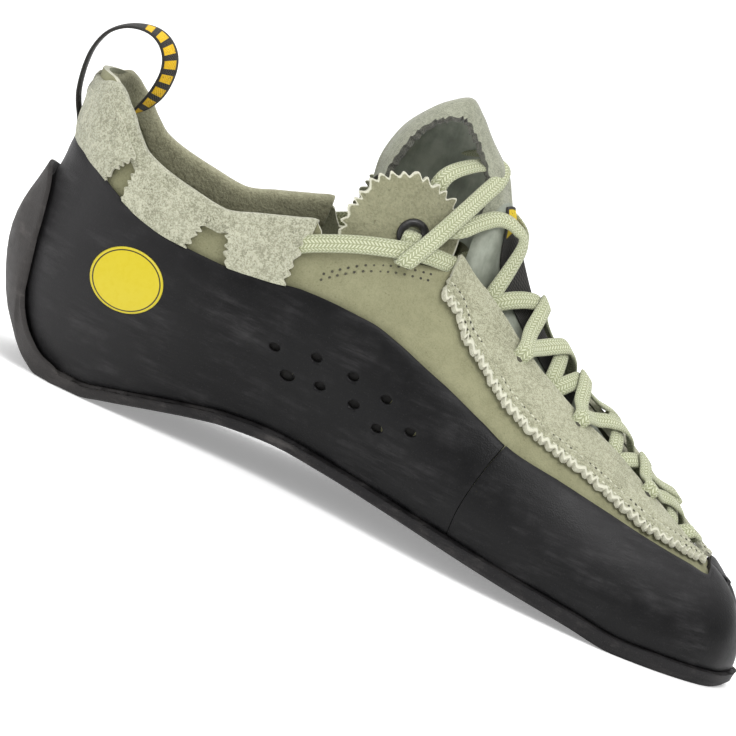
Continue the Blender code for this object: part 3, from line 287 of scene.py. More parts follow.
def smooth_value(places: Sequence[float], values: Sequence[float], at: float) -> float:
    """Read a smooth curve without overshoot.

    Args:
        places: rising places of the known values.
        values: the value at each place.
        at: the place to read.

    Returns:
        The value there, held at the ends.
    """
    if at <= places[0]:
        return values[0]
    if at >= places[-1]:
        return values[-1]
    k = bisect.bisect_right(places, at) - 1
    step = places[k + 1] - places[k]
    rise = (values[k + 1] - values[k]) / step

    def slope(j: int) -> float:
        """Slope at a point from the rises on its two sides."""
        if j in (0, len(places) - 1):
            return rise
        before = (values[j] - values[j - 1]) / (places[j] - places[j - 1])
        after = (values[j + 1] - values[j]) / (places[j + 1] - places[j])
        return 0.0 if before * after <= 0 else 2 * before * after / (before + after)

    return between((at - places[k]) / step, values[k], values[k + 1], slope(k) * step, slope(k + 1) * step)


def ease(at: float, start: float, end: float) -> float:
    """Smooth step.

    Args:
        at: the place to read.
        start: place up to which it is 0.
        end: place from which it is 1.

    Returns:
        The share at that place.
    """
    share = min(1.0, max(0.0, (at - start) / (end - start)))
    return share * share * (3 - 2 * share)


def spline(points: Sequence[Vector], at: float) -> Vector:
    """Read a smooth curve through points.

    Args:
        points: the points it goes through.
        at: share of its steps, from 0 to 1.

    Returns:
        The point there.
    """
    last = len(points) - 1
    j = min(last - 1, max(0, int(at * last)))
    t = at * last - j
    a, b, c, d = points[max(0, j - 1)], points[j], points[j + 1], points[min(last, j + 2)]
    return 0.5 * (2 * b + (c - a) * t + (2 * a - 5 * b + 4 * c - d) * t * t
                  + (3 * b - a - 3 * c + d) * t ** 3)


def ripple(point: Vector, height: float, size: float) -> float:
    """Soft uneven wave of a height, with humps about size across, both in millimetres."""
    return height * MM * noise.noise(point / (size * MM))


@dataclass
class Last:
    """Form that the shoe is built on, read by section number around and share of the height."""

    length: float = 240 * MM
    ball_width: float = 88 * MM
    ankle_height: float = 100 * MM
    sole_thickness: float = 5 * MM
    fit: float = 0.3 * MM
    toe: int = len(INNER_SECTIONS) - 1
    ring: list[Section] = field(default_factory=lambda: INNER_SECTIONS + OUTER_SECTIONS[::-1])
    known: dict = field(default_factory=dict)

    @property
    def around(self) -> int:
        """Number of sections once round the foot."""
        return len(self.ring)

    def height(self, line: Sequence[Flat], x: float) -> float:
        """Height of a side line at a distance from the heel."""
        return self.ankle_height * smooth_value(*zip(*line), x / self.length)

    def tread_value(self, column: str, x: float) -> float:
        """Read one column of the tread table at a distance from the heel."""
        places = [row.x for row in TREADS]
        return smooth_value(places, [getattr(row, column) for row in TREADS], x / self.length)

    def sole_bottom(self, x: float, y: float) -> float:
        """Height of the tread at a place."""
        outer = min(1.0, max(0.0, 0.5 + y / (0.8 * self.ball_width)))
        drop = self.ankle_height * self.tread_value("outer_drop", x) * outer
        return max(0.0, self.ankle_height * self.tread_value("bottom", x) - drop)

    def sole_top(self, x: float, y: float) -> float:
        """Height of the face that the upper stands on."""
        return self.sole_bottom(x, y) + self.sole_thickness * self.tread_value("thickness", x)

    def section(self, u: float) -> tuple[Vector, Vector, Vector, list[float]]:
        """Base point, top point, outward direction and swells of the last at a section number."""
        u = u % self.around
        key = round(u, 5)
        if key in self.known:
            return self.known[key]
        k = int(math.floor(u)) % self.around
        t = u - math.floor(u)
        rows = [self.ring[(k + j - 1) % self.around] for j in range(4)]
        mixed, rates = {}, {}
        for name in Section.__dataclass_fields__:
            a, b, c, d = (getattr(row, name) for row in rows)
            slope_b, slope_c = (c - a) / 2, (d - b) / 2
            mixed[name] = between(t, b, c, slope_b, slope_c)
            rates[name] = (6 * t * (t - 1) * b + (1 - t) * (1 - 3 * t) * slope_b
                           + 6 * t * (1 - t) * c + t * (3 * t - 2) * slope_c)
        row = Section(**mixed)
        x, y = self.length * row.x, self.ball_width * row.y
        base = Vector((x, y, self.sole_top(x, y) + self.fit))
        top = Vector((self.length * row.top_x, self.ball_width * row.top_y, self.ankle_height * row.top_z))
        outward = Vector((self.ball_width * rates["y"], -self.length * rates["x"], 0.0)).normalized()
        chord = (top - base).normalized()
        outward = (outward - chord * outward.dot(chord)).normalized()
        swells = [0.0, *(self.ball_width * part for part in (row.low, row.belly, row.waist, row.neck)), 0.0]
        self.known[key] = (base, top, outward, swells)
        return self.known[key]

    def skin(self, u: float, v: float) -> Vector:
        """Point of the upper's outer face."""
        base, top, outward, swells = self.section(u)
        return base.lerp(top, v) + outward * self.swell(swells, v)

    @staticmethod
    def swell(swells: Sequence[float], v: float) -> float:
        """Swell of the wall at a share of its height."""
        places = SWELL_HEIGHTS
        k = min(len(places) - 2, max(0, bisect.bisect_right(places, v) - 1))

        def slope(j: int) -> float:
            """Slope at a point of the section's curve."""
            low, high = max(0, j - 1), min(len(places) - 1, j + 1)
            return (swells[high] - swells[low]) / (places[high] - places[low])

        step = places[k + 1] - places[k]
        return between((v - places[k]) / step, swells[k], swells[k + 1], slope(k) * step, slope(k + 1) * step)

    def directions(self, u: float, v: float) -> tuple[Vector, Vector]:
        """Unit normal and unit upward tangent of the skin."""
        up = self.skin(u, min(1.0, v + 0.005)) - self.skin(u, max(0.0, v - 0.005))
        along = self.skin(u + 0.02, v) - self.skin(u - 0.02, v)
        return along.cross(up).normalized(), up.normalized()

    def point(self, u: float, v: float, offset: float = 0.0, rise: float = 0.0) -> Vector:
        """Point at an offset outside the skin, moved up along the wall by rise."""
        if not offset and not rise:
            return self.skin(u, v)
        normal, up = self.directions(u, v)
        return self.skin(u, v) + normal * offset + up * rise

    def crossing(self, u: float, keep: Callable[[Vector], bool], offset: float = 0.0) -> float:
        """Greatest share of the height up to which keep(point) holds without a break."""
        low, high, steps = 0.0, None, 50
        for k in range(1, steps + 1):
            if not keep(self.point(u, k / steps, offset)):
                high = k / steps
                break
            low = k / steps
        if high is None:
            return 1.0
        for _ in range(12):
            middle = (low + high) / 2
            if keep(self.point(u, middle, offset)):
                low = middle
            else:
                high = middle
        return low

    def below_rim(self, point: Vector) -> bool:
        """True on the wall of the upper, false in the collar and the throat."""
        if point.x < self.length * THROAT_START:
            return point.z < self.height(COLLAR_LINE, point.x)
        half = self.ball_width * smooth_value(*zip(*THROAT_LINE), point.x / self.length)
        return half <= 0 or abs(point.y - self.ridge_y(point.x)) > half

    def below_rand(self, point: Vector) -> bool:
        """True where the rubber rand covers the upper."""
        return point.x > self.length * TOE_CAP_START or point.z < self.height(RAND_LINE, point.x)

    def below_band(self, point: Vector) -> bool:
        """True where the outsole is carried up the heel."""
        return point.z < self.height(BAND_LINE, point.x)

    def rim(self, u: float) -> float:
        """Share of the height at which the upper ends."""
        key = ("rim", round(u % self.around, 5))
        if key not in self.known:
            self.known[key] = self.crossing(u, self.below_rim)
        return self.known[key]

    def rand_top(self, u: float) -> float:
        """Share of the height at which the rand ends."""
        return self.crossing(u, self.below_rand)

    def ridge_y(self, x: float) -> float:
        """Sideways place of the ridge of the instep."""
        rows = INNER_SECTIONS[RIDGE_START:]
        places = [row.top_x for row in rows]
        return self.ball_width * smooth_value(places, [row.top_y for row in rows], x / self.length)

    def ridge_number(self, x: float) -> float:
        """Section number whose top lies at a distance from the heel."""
        places = [row.top_x for row in INNER_SECTIONS[RIDGE_START:]]
        numbers = [float(RIDGE_START + k) for k in range(len(places))]
        return smooth_value(places, numbers, x / self.length)

    def find(self, side: Side, x: float, z: float, offset: float = 0.0) -> Flat:
        """Section and height share of the skin seen at (x, z) from a side."""
        u = self.toe * min(0.97, max(0.04, x / self.length))
        v = min(0.95, z / self.ankle_height)
        for _ in range(24):
            number = u if side is Side.INNER else self.around - u
            here = self.point(number, v, offset)
            if math.hypot(x - here.x, z - here.z) < 1e-6:
                break
            step_u = self.point(number - 0.05 * side.value, v, offset) - here
            step_v = self.point(number, min(1.0, v + 0.01), offset) - here
            a, b, c, d = step_u.x / 0.05, step_v.x / 0.01, step_u.z / 0.05, step_v.z / 0.01
            det = a * d - b * c
            if abs(det) < 1e-12:
                break
            dx, dz = x - here.x, z - here.z
            u = min(self.toe, max(0.0, u + max(-0.6, min(0.6, (d * dx - b * dz) / det))))
            v = min(0.985, max(0.0, v + max(-0.15, min(0.15, (a * dz - c * dx) / det))))
        return (u if side is Side.INNER else self.around - u), v

    def on(self, side: Side, x: float, z: float, offset: float) -> Vector:
        """Point at an offset outside the skin, seen at (x, z) from a side."""
        return self.point(*self.find(side, x, z, offset), offset)

    def instep(self, x: float, share: float, lift: float) -> tuple[Vector, Vector]:
        """Point and normal over the closed instep.

        Args:
            x: distance from the heel.
            share: from -1, the inner edge of the throat, over the ridge at 0, to 1, the outer edge.
            lift: height above the skin.

        Returns:
            The point and the unit normal there.
        """
        u = self.ridge_number(x)
        number = u if share < 0 else self.around - u
        v = min(0.999, 1 - abs(share) * (1 - self.rim(number)))
        normal, _ = self.directions(number, v)
        other, _ = self.directions(self.around - number, v)
        blend = max(0.0, 1 - abs(share) * 3) / 2
        normal = (normal * (1 - blend) + other * blend).normalized()
        return self.skin(number, v) + normal * lift, normal


class Pattern:
    """Node tree of one material, with short calls for the nodes that the finishes share."""

    def __init__(self, name: str) -> None:
        """Start a material of that name with its shader."""
        self.material = bpy.data.materials.new(name)
        self.material.use_nodes = True
        self.nodes = self.material.node_tree.nodes
        self.links = self.material.node_tree.links
        self.shader = self.nodes["Principled BSDF"]
        self.places = self.nodes.new("ShaderNodeTexCoord")

    def link(self, source: object, target: object) -> None:
        """Join an output, or set a constant, on an input."""
        if isinstance(source, Socket):
            self.links.new(source, target)
        else:
            target.default_value = source

    def stretched(self, scale: Triple, turn: float) -> Socket:
        """Coordinates scaled along each axis and turned about the side axis, in cycles per metre."""
        mapping = self.nodes.new("ShaderNodeMapping")
        mapping.inputs["Scale"].default_value = scale
        mapping.inputs["Rotation"].default_value = (0.0, turn, 0.0)
        self.links.new(self.places.outputs["Object"], mapping.inputs["Vector"])
        return mapping.outputs["Vector"]

    def noise(self, size: float, detail: float = 2.0, rough: float = 0.5,
              source: Socket | None = None) -> Socket:
        """Make cloudy noise.

        Args:
            size: width of a blot, unused where a source gives the scale.
            detail: number of finer layers.
            rough: strength of the finer layers.
            source: coordinates to read in place of the object's own.

        Returns:
            The noise, from 0 to 1.
        """
        node = self.nodes.new("ShaderNodeTexNoise")
        node.inputs["Scale"].default_value = 1.0 if source else 1.0 / size
        node.inputs["Detail"].default_value = detail
        node.inputs["Roughness"].default_value = rough
        self.links.new(source or self.places.outputs["Object"], node.inputs["Vector"])
        return node.outputs["Fac"]

    def band(self, value: object, low: float, high: float, start: float = 0.0, end: float = 1.0) -> Socket:
        """Map a value smoothly.

        Args:
            value: the value or the output that gives it.
            low: value that gives start.
            high: value that gives end.
            start: result at low and past it.
            end: result at high and past it.

        Returns:
            The mapped value.
        """
        node = self.nodes.new("ShaderNodeMapRange")
        node.interpolation_type = "SMOOTHSTEP"
        for socket, given in zip(node.inputs, (value, low, high, start, end)):
            self.link(given, socket)
        return node.outputs["Result"]

    def math(self, operation: str, *values: object) -> Socket:
        """One arithmetic node."""
        node = self.nodes.new("ShaderNodeMath")
        node.operation = operation
        for socket, value in zip(node.inputs, values):
            self.link(value, socket)
        return node.outputs["Value"]

    def times(self, first: object, second: object) -> Socket:
        """Product of two values."""
        return self.math("MULTIPLY", first, second)

    def plus(self, first: object, second: object) -> Socket:
        """Sum of two values."""
        return self.math("ADD", first, second)

    def window(self, value: object, start: float, end: float, soft: float) -> Socket:
        """One between start and end, falling to zero over a soft margin inside them."""
        return self.times(self.band(value, start, start + soft), self.band(value, end, end - soft))

    def mix(self, share: object, first: object, second: object, blend: str = "MIX") -> Socket:
        """Mix two colours."""
        node = self.nodes.new("ShaderNodeMix")
        node.data_type = "RGBA"
        node.blend_type = blend
        self.link(share, node.inputs[0])
        self.link(first, node.inputs[6])
        self.link(second, node.inputs[7])
        return node.outputs[2]

    def split(self, uv: bool = False) -> Sequence[Socket]:
        """The three parts of the object's coordinates, or of the UV map."""
        node = self.nodes.new("ShaderNodeSeparateXYZ")
        self.links.new(self.places.outputs["UV" if uv else "Object"], node.inputs[0])
        return tuple(node.outputs)

    def relief(self, height: Socket, depth: float) -> None:
        """Give the shader a bump of a depth."""
        node = self.nodes.new("ShaderNodeBump")
        node.inputs["Distance"].default_value = depth
        self.links.new(height, node.inputs["Height"])
        self.links.new(node.outputs["Normal"], self.shader.inputs["Normal"])

    def surface(self, colour: object, roughness: object, **constants: float) -> bpy.types.Material:
        """Give the shader its colour, roughness and constants.

        Args:
            colour: a colour or the output that gives one.
            roughness: a value or the output that gives one.
            constants: plain values of the shader's other sockets, spaces as underscores.

        Returns:
            The finished material.
        """
        self.link(colour, self.shader.inputs["Base Color"])
        self.link(roughness, self.shader.inputs["Roughness"])
        for name, value in constants.items():
            self.shader.inputs[name.replace("_", " ")].default_value = value
        return self.material


class Finish:
    """A surface finish; one material is made of each on its first use."""

    made: dict[str, bpy.types.Material] = {}
    name: str

    def material(self) -> bpy.types.Material:
        """The finish's material."""
        if self.name not in Finish.made:
            Finish.made[self.name] = self.build()
        return Finish.made[self.name]

    def build(self) -> bpy.types.Material:
        """Make the node tree."""
        raise NotImplementedError


@dataclass(frozen=True)
class Suede(Finish):
    """Brushed leather: a speckled nap over soft patches, with a bloom of sheen.

    nap is the size of a tuft, and pale_edge the axis of the UV map with the start and end of a pale rim.
    """

    name: str
    light: Colour
    dark: Colour
    nap: float
    speckle: float
    depth: float
    patch: float = 9 * MM
    sheen: float = 0.25
    pale_edge: tuple[int, float, float] | None = None

    def build(self) -> bpy.types.Material:
        """Make the node tree."""
        tree = Pattern(self.name)
        grain = tree.noise(self.nap, 3.0, 0.62)
        clumps = tree.noise(self.nap * 3.2, 3.0, 0.6)
        patches = tree.noise(self.patch, 3.0, 0.55)
        speck = tree.band(tree.plus(grain, tree.times(clumps, 0.6)), 0.66, 0.94)
        speck = tree.times(speck, self.speckle)
        mellow = tree.plus(0.38, tree.times(tree.band(patches, 0.35, 0.68), 0.34))
        shaded = tree.mix(mellow, self.dark, self.light)
        lifted = tree.mix(speck, tree.mix(0.45, shaded, self.dark), tree.mix(0.55, shaded, self.light))
        pits = tree.band(tree.noise(self.nap * 1.7), 0.36, 0.28)
        lifted = tree.mix(tree.times(pits, 0.55 * self.speckle), lifted, self.dark, "MULTIPLY")
        if self.pale_edge:
            axis, start, end = self.pale_edge
            fray = tree.times(tree.math("SUBTRACT", grain, 0.5), abs(end - start) * 1.5)
            edge = tree.band(tree.plus(tree.split(uv=True)[axis], fray), start, end, 0.0, 0.8)
            lifted = tree.mix(edge, lifted, tone(214, 213, 194))
        tree.relief(tree.plus(grain, clumps), self.depth)
        return tree.surface(lifted, tree.band(clumps, 0.3, 0.7, 0.85, 0.97), Sheen_Weight=self.sheen,
                            Sheen_Roughness=0.6, Specular_IOR_Level=0.25)


@dataclass(frozen=True)
class Rubber(Finish):
    """Rubber sheet: mottled black with dusty rubbed places, painted highlights at the heel (partly dusty) and
    on the toe's top, and a fine tooth.
    """

    name: str
    base: Colour
    dust: Colour
    gloss: float
    mottle: float = 14 * MM
    tooth: float = 0.10 * MM
    rubbed_heel: float = 0.55
    rubbed_toe: float = 0.45

    def build(self) -> bpy.types.Material:
        """Make the node tree."""
        tree = Pattern(self.name)
        clouds = tree.noise(self.mottle, 4.0, 0.6)
        fine = tree.noise(0.45 * MM, 2.0, 0.6)
        rubbed = tree.noise(0.0, 4.0, 0.7, tree.stretched((60.0, 90.0, 420.0), 0.25))
        wear_and_highlight = tree.times(tree.band(clouds, 0.40, 0.75), tree.band(rubbed, 0.35, 0.8))
        along, _, up = tree.split()
        # Painted highlight, partly dusty rubbing: the rubber lightens towards the back of the heel.
        heel = tree.times(tree.band(along, 45 * MM, -20 * MM), self.rubbed_heel)
        # Painted highlight: the top of the toe rand lightens where it faces the lamps above.
        toe = tree.times(tree.band(along, 120 * MM, 165 * MM), tree.band(up, 14 * MM, 30 * MM))
        wear_and_highlight = tree.plus(wear_and_highlight, tree.plus(heel, tree.times(toe, self.rubbed_toe)))
        speck = tree.times(tree.band(fine, 0.60, 0.78), 0.30)
        # The rubbed, dusty places and the painted highlights all mix towards the same pale tone.
        colour = tree.mix(tree.times(wear_and_highlight, 0.75), self.base, self.dust)
        colour = tree.mix(speck, colour, self.dust)
        tree.relief(tree.plus(fine, tree.times(rubbed, 0.5)), self.tooth)
        rough = tree.band(clouds, 0.3, 0.7, self.gloss - 0.06, self.gloss + 0.14)
        return tree.surface(colour, rough, Specular_IOR_Level=0.18)


@dataclass(frozen=True)
class Braid(Finish):
    """Flat braid on its own UV map, in millimetres along and around: small raised stitches, with painted
    shade in the hollows between them.
    """

    name: str
    raised: Colour
    # sunk is the painted shade of the hollows, also used as the soil's tone
    sunk: Colour
    pitch: float = 1.05
    column: float = 0.81
    depth: float = 0.16 * MM

    def build(self) -> bpy.types.Material:
        """Make the node tree."""
        tree = Pattern(self.name)
        along, around, _ = tree.split(uv=True)
        column = tree.math("DIVIDE", around, self.column)
        across = tree.math("FRACT", column)
        odd = tree.math("FLOORED_MODULO", tree.math("FLOOR", column), 2.0)
        lean = tree.math("SUBTRACT", 1.0, tree.times(odd, 2.0))
        slanted = tree.plus(tree.math("DIVIDE", along, self.pitch), tree.times(across, lean))
        wave = tree.band(tree.math("SINE", tree.times(slanted, 2 * math.pi)), -0.9, 0.5)
        edge = tree.band(tree.math("ABSOLUTE", tree.math("SUBTRACT", across, 0.5)), 0.5, 0.30)
        height = tree.times(wave, edge)
        fray = tree.noise(0.35 * MM, 3.0, 0.7)
        soil = tree.noise(7 * MM, 2.0, 0.5)
        # Painted shade: the hollows between stitches and between columns take the darker sunk tone.
        colour = tree.mix(height, self.sunk, self.raised)
        # Soil: cloudy patches pulled towards the same dark tone.
        colour = tree.mix(tree.times(tree.band(soil, 0.45, 0.8), 0.30), colour, self.sunk)
        tree.relief(tree.plus(height, tree.times(fray, 0.35)), self.depth)
        return tree.surface(colour, 0.82, Sheen_Weight=0.2, Specular_IOR_Level=0.25)


@dataclass(frozen=True)
class Webbing(Finish):
    """Narrow woven tape with plain printed blocks on one face, in millimetres of its UV map.

    The print has its span along the tape and its span around it.
    """

    name: str
    yarn: Colour
    block: Colour
    print_span: Flat
    face_span: Flat
    blocks: float = 4.2
    pitch: float = 0.9
    warp: float = 0.7
    soft_edge: float = 0.3

    def build(self) -> bpy.types.Material:
        """Make the node tree."""
        tree = Pattern(self.name)
        along, around, _ = tree.split(uv=True)
        rows = tree.math("SINE", tree.times(along, 2 * math.pi / self.pitch))
        warps = tree.math("SINE", tree.times(around, 2 * math.pi / self.warp))
        weave = tree.band(tree.times(rows, warps), -0.7, 0.7)
        inside = tree.times(tree.window(along, *self.print_span, self.soft_edge),
                            tree.window(around, *self.face_span, self.soft_edge))
        beat = tree.math("SINE", tree.times(along, 2 * math.pi / self.blocks))
        blocks = tree.times(inside, tree.band(beat, -0.35, -0.15))
        worn = tree.times(blocks, tree.band(tree.noise(0.5 * MM, 3.0), 0.25, 0.42))
        yarn = tree.mix(weave, self.yarn, tone(62, 60, 56))
        tree.relief(weave, 0.2 * MM)
        return tree.surface(tree.mix(worn, yarn, self.block), 0.62, Specular_IOR_Level=0.35)


@dataclass(frozen=True)
class Lining(Finish):
    """Smooth close cloth or board: faint clouds, soft rubbed streaks and a fine thread."""

    name: str
    light: Colour
    dark: Colour
    roughness: float = 0.72
    thread: float = 0.5 * MM
    depth: float = 0.06 * MM

    def build(self) -> bpy.types.Material:
        """Make the node tree."""
        tree = Pattern(self.name)
        clouds = tree.noise(8 * MM, 4.0, 0.6)
        streaks = tree.noise(0.0, 3.0, 0.6, tree.stretched((300.0, 300.0, 70.0), -0.5))
        fine = tree.noise(self.thread, 2.0, 0.5)
        share = tree.plus(tree.times(clouds, 0.7), tree.times(streaks, 0.4))
        colour = tree.mix(tree.band(share, 0.38, 0.72), self.dark, self.light)
        tree.relief(fine, self.depth)
        return tree.surface(colour, self.roughness, Sheen_Weight=0.1)


@dataclass(frozen=True)
class Badge(Finish):
    """Print of a plain oval: its UV map is a unit disc; a thin dark ring near a paler rim."""

    name: str
    field_tone: Colour
    ring_tone: Colour
    rim_tone: Colour
    ring_start: float = 0.895
    ring_end: float = 0.925
    rim_start: float = 0.965
    soft_edge: float = 0.008

    def build(self) -> bpy.types.Material:
        """Make the node tree."""
        tree = Pattern(self.name)
        radius, _, _ = tree.split(uv=True)
        worn = tree.band(tree.noise(1.6 * MM, 3.0), 0.3, 0.6)
        inner = tree.mix(tree.times(worn, 0.25), self.field_tone, self.rim_tone)
        ring = tree.times(tree.band(radius, self.ring_start - self.soft_edge, self.ring_start),
                          tree.band(radius, self.ring_end + self.soft_edge, self.ring_end))
        colour = tree.mix(ring, inner, self.ring_tone)
        colour = tree.mix(tree.band(radius, self.rim_start, self.rim_start + 0.01), colour, self.rim_tone)
        tree.relief(tree.noise(0.5 * MM, 2.0), 0.03 * MM)
        return tree.surface(colour, 0.42, Specular_IOR_Level=0.5)


@dataclass(frozen=True)
class Paper(Finish):
    """Matt paper with a faint glow, for the studio floor."""

    name: str
    colour: Colour
    glow: float

    def build(self) -> bpy.types.Material:
        """Make the node tree."""
        return Pattern(self.name).surface(self.colour, 0.9, Emission_Color=self.colour,
                                          Emission_Strength=self.glow, Specular_IOR_Level=0.1)


@dataclass(frozen=True)
class Hard(Finish):
    """Hard smooth piece: one tone, cloudy gloss and tiny dents."""

    name: str
    colour: Colour
    roughness: float = 0.35

    def build(self) -> bpy.types.Material:
        """Make the node tree."""
        tree = Pattern(self.name)
        clouds = tree.noise(1.5 * MM, 3.0, 0.6)
        tree.relief(clouds, 0.03 * MM)
        worn = tree.mix(tree.band(clouds, 0.5, 0.8, 0.0, 0.15), self.colour, tone(120, 118, 112))
        return tree.surface(worn, tree.band(clouds, 0.3, 0.7, self.roughness - 0.05, self.roughness + 0.1))


def sheet(columns: int, rows: int, place: Place, closed: bool = False,
          scale: Flat = (1.0, 1.0)) -> Mesh:
    """Bend a grid into a sheet.

    Args:
        columns: faces along s.
        rows: faces along t.
        place: gives the point at shares s and t of the grid's two sides.
        closed: True where the last column meets the first.
        scale: what the two sides of its UV map measure.

    Returns:
        The sheet, one layer thick.
    """
    shape = bmesh.new()
    layer = shape.loops.layers.uv.new("UVMap")
    bmesh.ops.create_grid(shape, x_segments=columns, y_segments=rows, size=0.5)
    for face in shape.faces:
        for loop in face.loops:
            loop[layer].uv = ((loop.vert.co.x + 0.5) * scale[0], (loop.vert.co.y + 0.5) * scale[1])
    for vertex in shape.verts:
        vertex.co = place(round(vertex.co.x + 0.5, 6), round(vertex.co.y + 0.5, 6))
    if closed:
        bmesh.ops.remove_doubles(shape, verts=shape.verts, dist=MM / 200)
    return shape


def turn_away(shape: Mesh, middle: Vector) -> None:
    """Turn the faces of a sheet so that most look away from a point.

    Args:
        shape: the sheet.
        middle: the point.
    """
    bmesh.ops.recalc_face_normals(shape, faces=shape.faces)
    facing = 0.0
    for face in shape.faces:
        facing += face.normal.dot(face.calc_center_median() - middle) * face.calc_area()
    if facing < 0:
        bmesh.ops.reverse_faces(shape, faces=shape.faces)


def close_ends(shape: Mesh) -> None:
    """Cap the open ends of a tube and turn its faces outwards."""
    rim = [edge for edge in shape.edges if edge.is_boundary]
    if rim:
        bmesh.ops.holes_fill(shape, edges=rim, sides=0)
    bmesh.ops.recalc_face_normals(shape, faces=shape.faces)
    if shape.calc_volume(signed=True) < 0:
        bmesh.ops.reverse_faces(shape, faces=shape.faces)


@dataclass(frozen=True)
class Wall:
    """Thickness given to a sheet towards its back, with the finishes of the back and the cut edge."""

    thickness: float
    back: int = 0
    edge: int = 0
    round_off: float = 0.0


def round_edges(thing: bpy.types.Object, width: float, angle: float) -> None:
    """Round the edges of a piece that turn by more than an angle in degrees."""
    soften = thing.modifiers.new("edge", "BEVEL")
    soften.width, soften.segments = width, 2
    soften.limit_method, soften.angle_limit = "ANGLE", math.radians(angle)


def add_piece(name: str, shape: Mesh, finishes: Sequence[Finish],
              nodes: Iterable[str] = (), wall: Wall | None = None) -> bpy.types.Object:
    """Make a finished piece from a mesh in the heel's measure.

    Args:
        name: the piece's name.
        shape: its mesh, which is used up.
        finishes: one for each material number of its faces.
        nodes: the frame's nodes that it stands for.
        wall: thickness to give it, if it is a sheet.

    Returns:
        The object, riding on the shoe's body.
    """
    bmesh.ops.translate(shape, verts=shape.verts, vec=(-ORIGIN_FROM_HEEL, 0.0, 0.0))
    mesh = bpy.data.meshes.new(name)
    for part in shape.faces:
        part.smooth = True
    shape.to_mesh(mesh)
    shape.free()
    for finish in finishes:
        mesh.materials.append(finish.material())
    thing = bpy.data.objects.new(name, mesh)
    bpy.context.scene.collection.objects.link(thing)
    if wall:
        thicken = thing.modifiers.new("wall", "SOLIDIFY")
        thicken.thickness = wall.thickness
        thicken.offset = -1.0
        thicken.use_even_offset = False
        thicken.material_offset = wall.back
        thicken.material_offset_rim = wall.edge
        if wall.round_off:
            round_edges(thing, wall.round_off, 50.0)
    if nodes:
        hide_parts(*nodes)
    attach(thing, BODY)
    log.info("%s: %d faces", name, len(mesh.polygons))
    return thing


@dataclass
class Strand:
    """Flat cord swept along a smooth route.

    The route and the directions that its face looks in are given as knots; the cord is cut to
    equal steps, and its UV map is in millimetres along and around.
    """

    knots: list[Vector]
    faces: list[Vector]
    width: float = 5.4 * MM
    thickness: float = 1.3 * MM
    step: float = 0.7 * MM
    around: int = 16

    def frame_at(self, share: float) -> tuple[Vector, Vector, Vector]:
        """Point, sideways direction and facing direction at a share of the route."""
        step = 0.004
        ahead = spline(self.knots, min(1.0, share + step))
        behind = spline(self.knots, max(0.0, share - step))
        along = (ahead - behind).normalized()
        face = spline(self.faces, share)
        face = (face - along * face.dot(along)).normalized()
        return spline(self.knots, share), along.cross(face), face

    def shares(self) -> tuple[list[float], float]:
        """Shares of the route at equal steps of its length, and the length."""
        count = 40 * (len(self.knots) - 1)
        points = [spline(self.knots, k / count) for k in range(count + 1)]
        lengths = [0.0]
        for a, b in zip(points, points[1:]):
            lengths.append(lengths[-1] + (b - a).length)
        steps = max(4, round(lengths[-1] / self.step))
        found = []
        for k in range(steps + 1):
            target = lengths[-1] * k / steps
            j = min(count - 1, max(0, bisect.bisect_right(lengths, target) - 1))
            rest = lengths[j + 1] - lengths[j]
            found.append((j + (target - lengths[j]) / rest if rest else j) / count)
        return [min(1.0, share) for share in found], lengths[-1]

    def build(self) -> Mesh:
        """Sweep the cord's section along its route."""
        shares, length = self.shares()
        frames = [self.frame_at(share) for share in shares]

        def place(s: float, t: float) -> Vector:
            """Point of the cord's face."""
            centre, side, face = frames[round(s * (len(frames) - 1))]
            angle = 2 * math.pi * t
            across, up = math.cos(angle), math.sin(angle)
            across = math.copysign(abs(across) ** 0.75, across) * self.width / 2
            up = math.copysign(abs(up) ** 0.62, up) * self.thickness / 2
            return centre + side * across + face * up

        girth = 2 * (self.width + self.thickness) / MM
        shape = sheet(len(frames) - 1, self.around, place, closed=True, scale=(length / MM, girth))
        close_ends(shape)
        return shape


def join(shapes: Iterable[Mesh]) -> Mesh:
    """Put several meshes into one.

    Args:
        shapes: the meshes, which are used up.

    Returns:
        The joined mesh.
    """
    whole = bmesh.new()
    whole.loops.layers.uv.new("UVMap")
    for shape in shapes:
        mesh = bpy.data.meshes.new("part")
        shape.to_mesh(mesh)
        shape.free()
        whole.from_mesh(mesh)
        bpy.data.meshes.remove(mesh)
    return whole


@dataclass(frozen=True)
class Crease:
    """Soft trough or ridge across the leather, between two places seen from the side.

    A positive depth sinks the surface, a negative one raises it.
    """

    start: Flat
    end: Flat
    width: float
    depth: float

    def at(self, x: float, z: float) -> float:
        """Depth at a place seen from the side."""
        ax, az = self.start
        bx, bz = self.end
        span = (bx - ax) ** 2 + (bz - az) ** 2
        t = min(1.0, max(0.0, ((x - ax) * (bx - ax) + (z - az) * (bz - az)) / span))
        gap = math.hypot(x - ax - t * (bx - ax), z - az - t * (bz - az))
        return self.depth * math.exp(-(gap / self.width) ** 2) * math.sin(math.pi * (0.15 + 0.7 * t))


